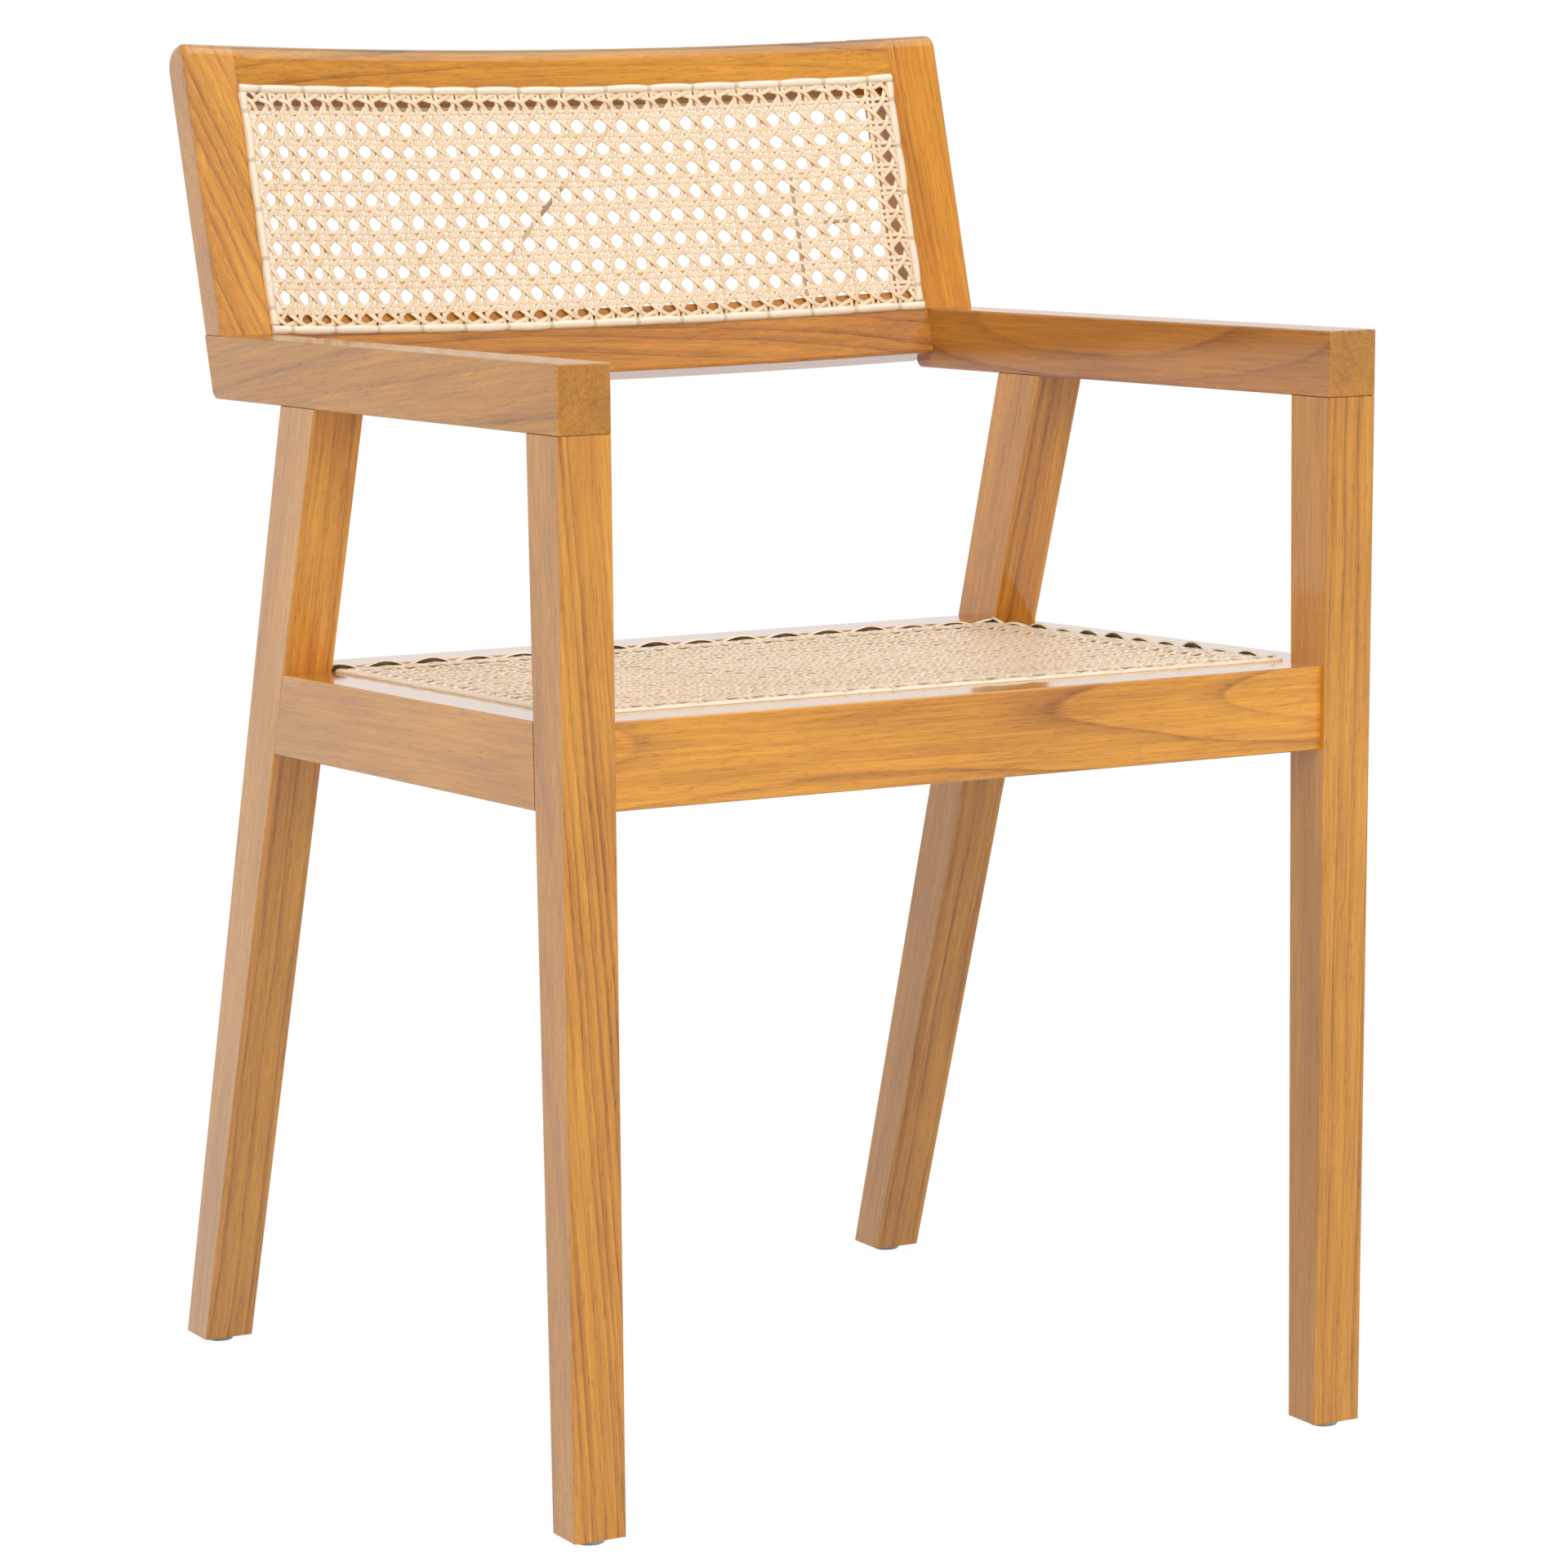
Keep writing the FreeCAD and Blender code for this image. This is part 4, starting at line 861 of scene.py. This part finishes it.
def cane_finish(name, colour, half_width, spread, painted_shade_below=NO_TINT):
    """Cane with its own tone for each strand; half_width in millimetres is where its darker cut edge lies.
    The cut edge is darkened partly for the cut's own colour and partly as painted shade between the strands.

    The tones differ by spread, and faces that look down are darkened by the tint given for them, a painted
    shade.
    """
    finish, tree = new_material(name)
    strip = add_node(tree, "ShaderNodeUVMap").outputs[0]

    def noise(along, across, detail):
        """Noise with this many waves for each cell along and across the strand."""
        drawn = add_node(tree, "ShaderNodeMapping", {"Vector": strip, "Scale": (along, across, 1)})
        return add_node(tree, "ShaderNodeTexNoise", {
            "Vector": drawn.outputs[0], "Scale": 1.0, "Detail": detail}).outputs["Fac"]

    fibre = noise(1.2, 60, 3.0)
    stretch = noise(0.5, 1, 2.0)
    speck = noise(4.0, 40, 1.0)
    tone = add_node(tree, "ShaderNodeAttribute", attribute_name="tone").outputs["Fac"]
    level = math_node(tree, "MULTIPLY_ADD", tone, spread, 1.0)
    level = math_node(tree, "MULTIPLY_ADD", math_node(tree, "SUBTRACT", fibre, 0.5), 0.2, level)
    level = math_node(tree, "MULTIPLY_ADD", math_node(tree, "SUBTRACT", stretch, 0.5), 0.4, level)
    shade = add_node(tree, "ShaderNodeMapRange", {"Value": level, "From Min": -0.5, "From Max": 1.3})
    stained = tuple(part*share for part, share in zip(colour, STAINED_SHARE))
    warm = tuple(part*share for part, share in zip(colour, WARM_SHARE))
    tinted = ramp(tree, shade.outputs[0], [(0.0, stained), (0.36, warm), (0.85, colour), (1.0, colour)])
    across = add_node(tree, "ShaderNodeSeparateXYZ", {0: strip}).outputs["Y"]
    middle = math_node(tree, "ROUND", across)
    off_middle = math_node(tree, "ABSOLUTE", math_node(tree, "SUBTRACT", across, middle))
    edge = math_node(tree, "MULTIPLY", off_middle, TABLE_PITCH/MM/half_width)
    # the strand's cut edges are darkened, partly as painted shade between the strands
    tinted = blended(tree, "MULTIPLY", ramp(tree, edge, [(0.6, 0.0), (0.98, 0.8)]), tinted, CUT_EDGE_AND_SHADE)
    tinted = blended(tree, "MULTIPLY", ramp(tree, speck, [(0.66, 0.0), (0.75, 0.7)]), tinted, SPECK)
    normal = add_node(tree, "ShaderNodeTexCoord").outputs["Normal"]
    looks = add_node(tree, "ShaderNodeSeparateXYZ", {0: normal})
    under = ramp(tree, math_node(tree, "MULTIPLY", looks.outputs["Z"], -1.0), [(0.15, 0.0), (0.6, 1.0)])
    # faces that look down are darkened by the given tint: painted shade
    tinted = blended(tree, "MULTIPLY", under, tinted, painted_shade_below)
    bump = add_node(tree, "ShaderNodeBump", {"Height": fibre, "Strength": 0.2, "Distance": 0.0002})
    skin = add_node(tree, "ShaderNodeBsdfPrincipled", {
        "Base Color": tinted, "Normal": bump.outputs[0], "Roughness": 0.42, "Coat Weight": 0.4,
        "Coat Roughness": 0.2, "IOR": 1.5})
    add_node(tree, "ShaderNodeOutputMaterial", {"Surface": skin.outputs[0]})
    return finish


cane = cane_finish("cane", (0.94, 0.75, 0.515), 1.15, 0.28)
# the seat's cane is a paler copy of the back's cane: painted light for a weave seen at a low angle
seat_cane = cane_finish("seat_cane", (1.0, 0.86, 0.675), 1.4, 0.2)
edge_cane = cane_finish("edge_cane", (0.95, 0.82, 0.63), 3.1, 0.10)
# the seat's edge strips are darkened below: painted shade in the gaps under them
seat_edge_cane = cane_finish("seat_edge_cane", (0.94, 0.79, 0.59), 5.0, 0.10, painted_shade_below=(0.22, 0.15, 0.09))
tie_cane = cane_finish("tie_cane", (0.72, 0.58, 0.42), 3.2, 0.10)
WEAVE_FINISH = {"back": cane, "seat": seat_cane}
REED_FINISH = {"back": edge_cane, "seat": seat_edge_cane}
TIE_FINISH = {"back": tie_cane, "seat": edge_cane}
print("cane for the weave", cane.name, seat_cane.name)
print("cane for the edges", edge_cane.name, seat_edge_cane.name, tie_cane.name)

# %% Weave both panels
for panel in (back_panel, seat_panel):
    for direction in ("upright", "level", "rising", "falling"):
        strands = weave(panel, direction)
        dress(strands, WEAVE_FINISH[panel.name])
        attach(strands, "root")
        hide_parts(f"{panel.name}_cane_panel")
        print(strands.name, "triangles", sum(len(face.vertices) - 2 for face in strands.data.polygons))

# %% [markdown]
# Edge strips and ties
# A half-round reed covers the peg holes along each side. A thin strand comes up through every second hole,
# over the reed and down again, and nips it, so the reed bulges between the ties. One stretch from tie to
# tie is modelled as a round bar, flattened below and swollen in the middle, then repeated along the side
# and cut off at its ends. At the back and the right of the seat, the reed's inner edge arches up between
# the ties.

# %% Reed
REED_SIDES = 14
REED_RINGS = 8
SWAY = 0.5
LEAST_ARCH = 0.45
TIE_EVERY = 2
MOST_STRETCHES = 40
FLAT_FOOT = 0.12
END_ROUND = 0.3


class Strip:
    """Measures of an edge strip in millimetres.

    Nip is the share that a tie takes off, foot the height under the strip. Between the ties the inner edge of
    the arched sides rises by up to arch.
    """

    def __init__(self, width, height, foot, nip, tie_width, tie_thick, arched=(), arch=0.0):
        self.width = width
        self.foot = foot
        self.height = height
        self.nip = nip
        self.tie_width = tie_width
        self.tie_thick = tie_thick
        self.arched = arched
        self.arch = arch


STRIPS = {
    "back": Strip(6.0, 3.2, 0.35, 0.28, 2.5, 0.35),
    "seat": Strip(4.8, 2.0, 0.08, 0.4, 1.8, 0.25, arched=("back", "right"), arch=4.8),
}


def reed_on_table(name, strip, stretches, stretch_length):
    """A reed along X from tie to tie, its foot on the table."""
    bpy.ops.object.select_all(action="DESELECT")
    bpy.ops.mesh.primitive_cylinder_add(vertices=REED_SIDES, radius=strip.width/2*MM, depth=stretch_length*MM,
                                        location=(stretch_length/2*MM, 0, 0), rotation=(0, math.pi/2, 0),
                                        end_fill_type="NOTHING")
    reed = bpy.context.object
    reed.name = name
    bpy.ops.object.transform_apply()
    to_mode("EDIT")
    bpy.ops.mesh.select_mode(type="EDGE")
    bpy.ops.mesh.select_all(action="DESELECT")
    to_mode("OBJECT")
    points = reed.data.vertices
    for edge in reed.data.edges:
        first, second = (points[index].co for index in edge.vertices)
        edge.select = abs(first.x - second.x) > stretch_length/2*MM
    to_mode("EDIT")
    bpy.ops.mesh.subdivide(number_cuts=REED_RINGS - 1)
    bpy.ops.mesh.select_all(action="SELECT")
    bpy.ops.transform.resize(value=(1, 1, 2*strip.height/strip.width), center_override=(0, 0, 0))
    to_mode("OBJECT")
    for ring in range(REED_RINGS + 1):
        here = ring/REED_RINGS*stretch_length*MM
        slim = 1 - strip.nip*(1 - math.sin(math.pi*ring/REED_RINGS)**0.5)
        select_places(reed, lambda place: abs(place.x - here) < CLOSE)
        bpy.ops.transform.resize(value=(1, slim, slim), center_override=(here, 0, 0))
        to_mode("OBJECT")
    select_places(reed, lambda place: place.z < 0)
    bpy.ops.transform.resize(value=(1, 1, FLAT_FOOT), center_override=(0, 0, 0))
    to_mode("OBJECT")
    repeat(reed, stretches, (stretch_length*MM, 0, 0), merge=True)
    apply_all(reed)
    return reed


def cut_ends(reed, start, end):
    """Cut the reed at both ends and round the cut edges a little."""
    for place, outward in ((start, -1), (end, 1)):
        to_mode("EDIT")
        bpy.ops.mesh.select_all(action="SELECT")
        bpy.ops.mesh.bisect(plane_co=(place*MM, 0, 0), plane_no=(outward, 0, 0), use_fill=True,
                            clear_outer=True)
        bpy.ops.mesh.bevel(offset=END_ROUND*MM, segments=2)
        to_mode("OBJECT")


# %% Reeds and ties along one side
TIE_SIDES = 16
TIE_LOOSE = 1.04
TIE_FOOT = 0.05
# the side strips stop this far short of the strips that cross them
END_GAP = 0.6


def ties_on_table(name, strip, count, spacing):
    """Thin bands over a reed, one at every spacing along X."""
    bpy.ops.object.select_all(action="DESELECT")
    bpy.ops.mesh.primitive_cylinder_add(vertices=TIE_SIDES, radius=strip.width*(1 - strip.nip)/2*MM,
                                        depth=strip.tie_width*MM, rotation=(0, math.pi/2, 0),
                                        end_fill_type="NOTHING")
    band = bpy.context.object
    band.name = name
    bpy.ops.object.transform_apply()
    to_mode("EDIT")
    bpy.ops.transform.resize(value=(1, TIE_LOOSE, 2*strip.height/strip.width), center_override=(0, 0, 0))
    to_mode("OBJECT")
    select_places(band, lambda place: place.z < -TOLERANCE)
    bpy.ops.mesh.delete(type="VERT")
    to_mode("OBJECT")
    select_places(band, lambda place: place.z < TOLERANCE)
    bpy.ops.mesh.select_mode(type="EDGE")
    down_to_wood = (0, 0, (TIE_FOOT - strip.foot)*MM)
    bpy.ops.mesh.extrude_edges_move(TRANSFORM_OT_translate={"value": down_to_wood})
    to_mode("OBJECT")
    thick = band.modifiers.new("thickness", "SOLIDIFY")
    thick.thickness = strip.tie_thick*MM
    thick.offset = 1
    repeat(band, count, (spacing*MM, 0, 0), merge=False)
    apply_all(band)
    bpy.ops.object.shade_smooth_by_angle(angle=SMOOTH_ANGLE)
    return band


# for each side, the axis across it and the direction outwards
SIDES = {"top": (1, 1), "back": (1, 1), "bottom": (1, -1), "front": (1, -1), "left": (0, -1), "right": (0, 1)}


def lay_along_side(piece, panel, side, first_tie, spacing):
    """Move a piece from the table to its side of the panel; the reed sways and arches between the ties."""
    mesh = piece.data
    flat = places_of(mesh)/MM
    axis, sign = SIDES[side]
    strip = STRIPS[panel.name]
    middle = panel.edges[axis][1 if sign > 0 else 0] + sign*STRIP_WIDTH/2
    along = flat[:, 0]
    stretch = (along - first_tie)/spacing
    between = numpy.sin(math.pi*(stretch % 1))
    number = numpy.floor(stretch).astype(int)
    sway = chance.uniform(-SWAY, SWAY, MOST_STRETCHES)[number]*between
    offset = flat[:, 1] if axis else -flat[:, 1]
    inner = 0.5 - sign*offset/strip.width
    rise = strip.arch if side in strip.arched else 0
    arch = chance.uniform(LEAST_ARCH, 1.0, MOST_STRETCHES)[number]*between*inner*rise
    across = middle + offset + sway
    spots = (along, across) if axis else (across, along)
    mesh.vertices.foreach_set("co", panel.place(*spots, strip.foot + flat[:, 2] + arch).ravel())
    mesh.update()


def strip_marks(piece):
    """Map and tone for the fibres of a strip or of ties."""
    mesh = piece.data
    flat = places_of(mesh)
    add_strand_marks(mesh, flat, numpy.full(len(flat), chance.normal(0, 1)))


def edge_side(panel, side):
    """The reed and the ties of one side of a panel."""
    axis = SIDES[side][0]
    run = 1 - axis
    strip = STRIPS[panel.name]
    spacing = TIE_EVERY*panel.pitch[run]
    first_tie = panel.first[run] + 0.5*panel.pitch[run]
    count = panel.cells[run]//TIE_EVERY
    low, high = panel.edges[run]
    reach = STRIP_WIDTH if axis else -END_GAP
    reed = reed_on_table(f"{panel.name}_edge_reed_{side}", strip, count + 1, spacing)
    ties = ties_on_table(f"{panel.name}_edge_ties_{side}", strip, count, spacing)
    for piece, start in ((reed, first_tie - spacing), (ties, first_tie)):
        bpy.ops.object.select_all(action="DESELECT")
        piece.select_set(True)
        bpy.context.view_layer.objects.active = piece
        to_mode("EDIT")
        bpy.ops.mesh.select_all(action="SELECT")
        bpy.ops.transform.translate(value=(start*MM, 0, 0))
        to_mode("OBJECT")
        if piece == reed:
            cut_ends(reed, low - reach, high + reach)
            bpy.ops.object.shade_smooth_by_angle(angle=SMOOTH_ANGLE)
        strip_marks(piece)
        lay_along_side(piece, panel, side, first_tie, spacing)
    return reed, ties


# %% All edge strips
PANEL_SIDES = {"back": ("top", "bottom", "left", "right"), "seat": ("front", "back", "left", "right")}
for panel in (back_panel, seat_panel):
    for side in PANEL_SIDES[panel.name]:
        reed, ties = edge_side(panel, side)
        for piece, finish in ((reed, REED_FINISH[panel.name]), (ties, TIE_FINISH[panel.name])):
            dress(piece, finish)
            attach(piece, "root")
        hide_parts(f"{panel.name}_binding_{side}")
        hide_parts(f"{panel.name}_binding_ties")
        print(reed.name, "vertices", len(reed.data.vertices), ties.name, len(ties.data.vertices))

# %% [markdown]
# Glides
# Each leg stands on a small pale plastic glide. It is moulded, so it has no grain, only a fine speckle.

# %% Glide finish
GLIDE_DARK = (0.62, 0.60, 0.60)
GLIDE_PALE = (0.74, 0.73, 0.74)
SPECKLE_SCALE = 900.0
glide_finish, tree = new_material("glide_plastic")
spot = tree.nodes.new("ShaderNodeTexCoord")
speckle = add_node(tree, "ShaderNodeTexNoise", {
    "Vector": spot.outputs["Object"], "Scale": SPECKLE_SCALE, "Detail": 2.0}).outputs["Fac"]
shade = blended(tree, "MIX", speckle, GLIDE_DARK, GLIDE_PALE)
dents = add_node(tree, "ShaderNodeBump", {"Height": speckle, "Strength": 0.15, "Distance": 0.0002})
plastic = add_node(tree, "ShaderNodeBsdfPrincipled", {
    "Base Color": shade, "Normal": dents.outputs[0], "Roughness": 0.45})
add_node(tree, "ShaderNodeOutputMaterial", {"Surface": plastic.outputs[0]})
glides = [name for name in nodes if name.startswith("glide")]
for name in glides:
    dress(nodes[name], glide_finish)
print("glides", len(glides))
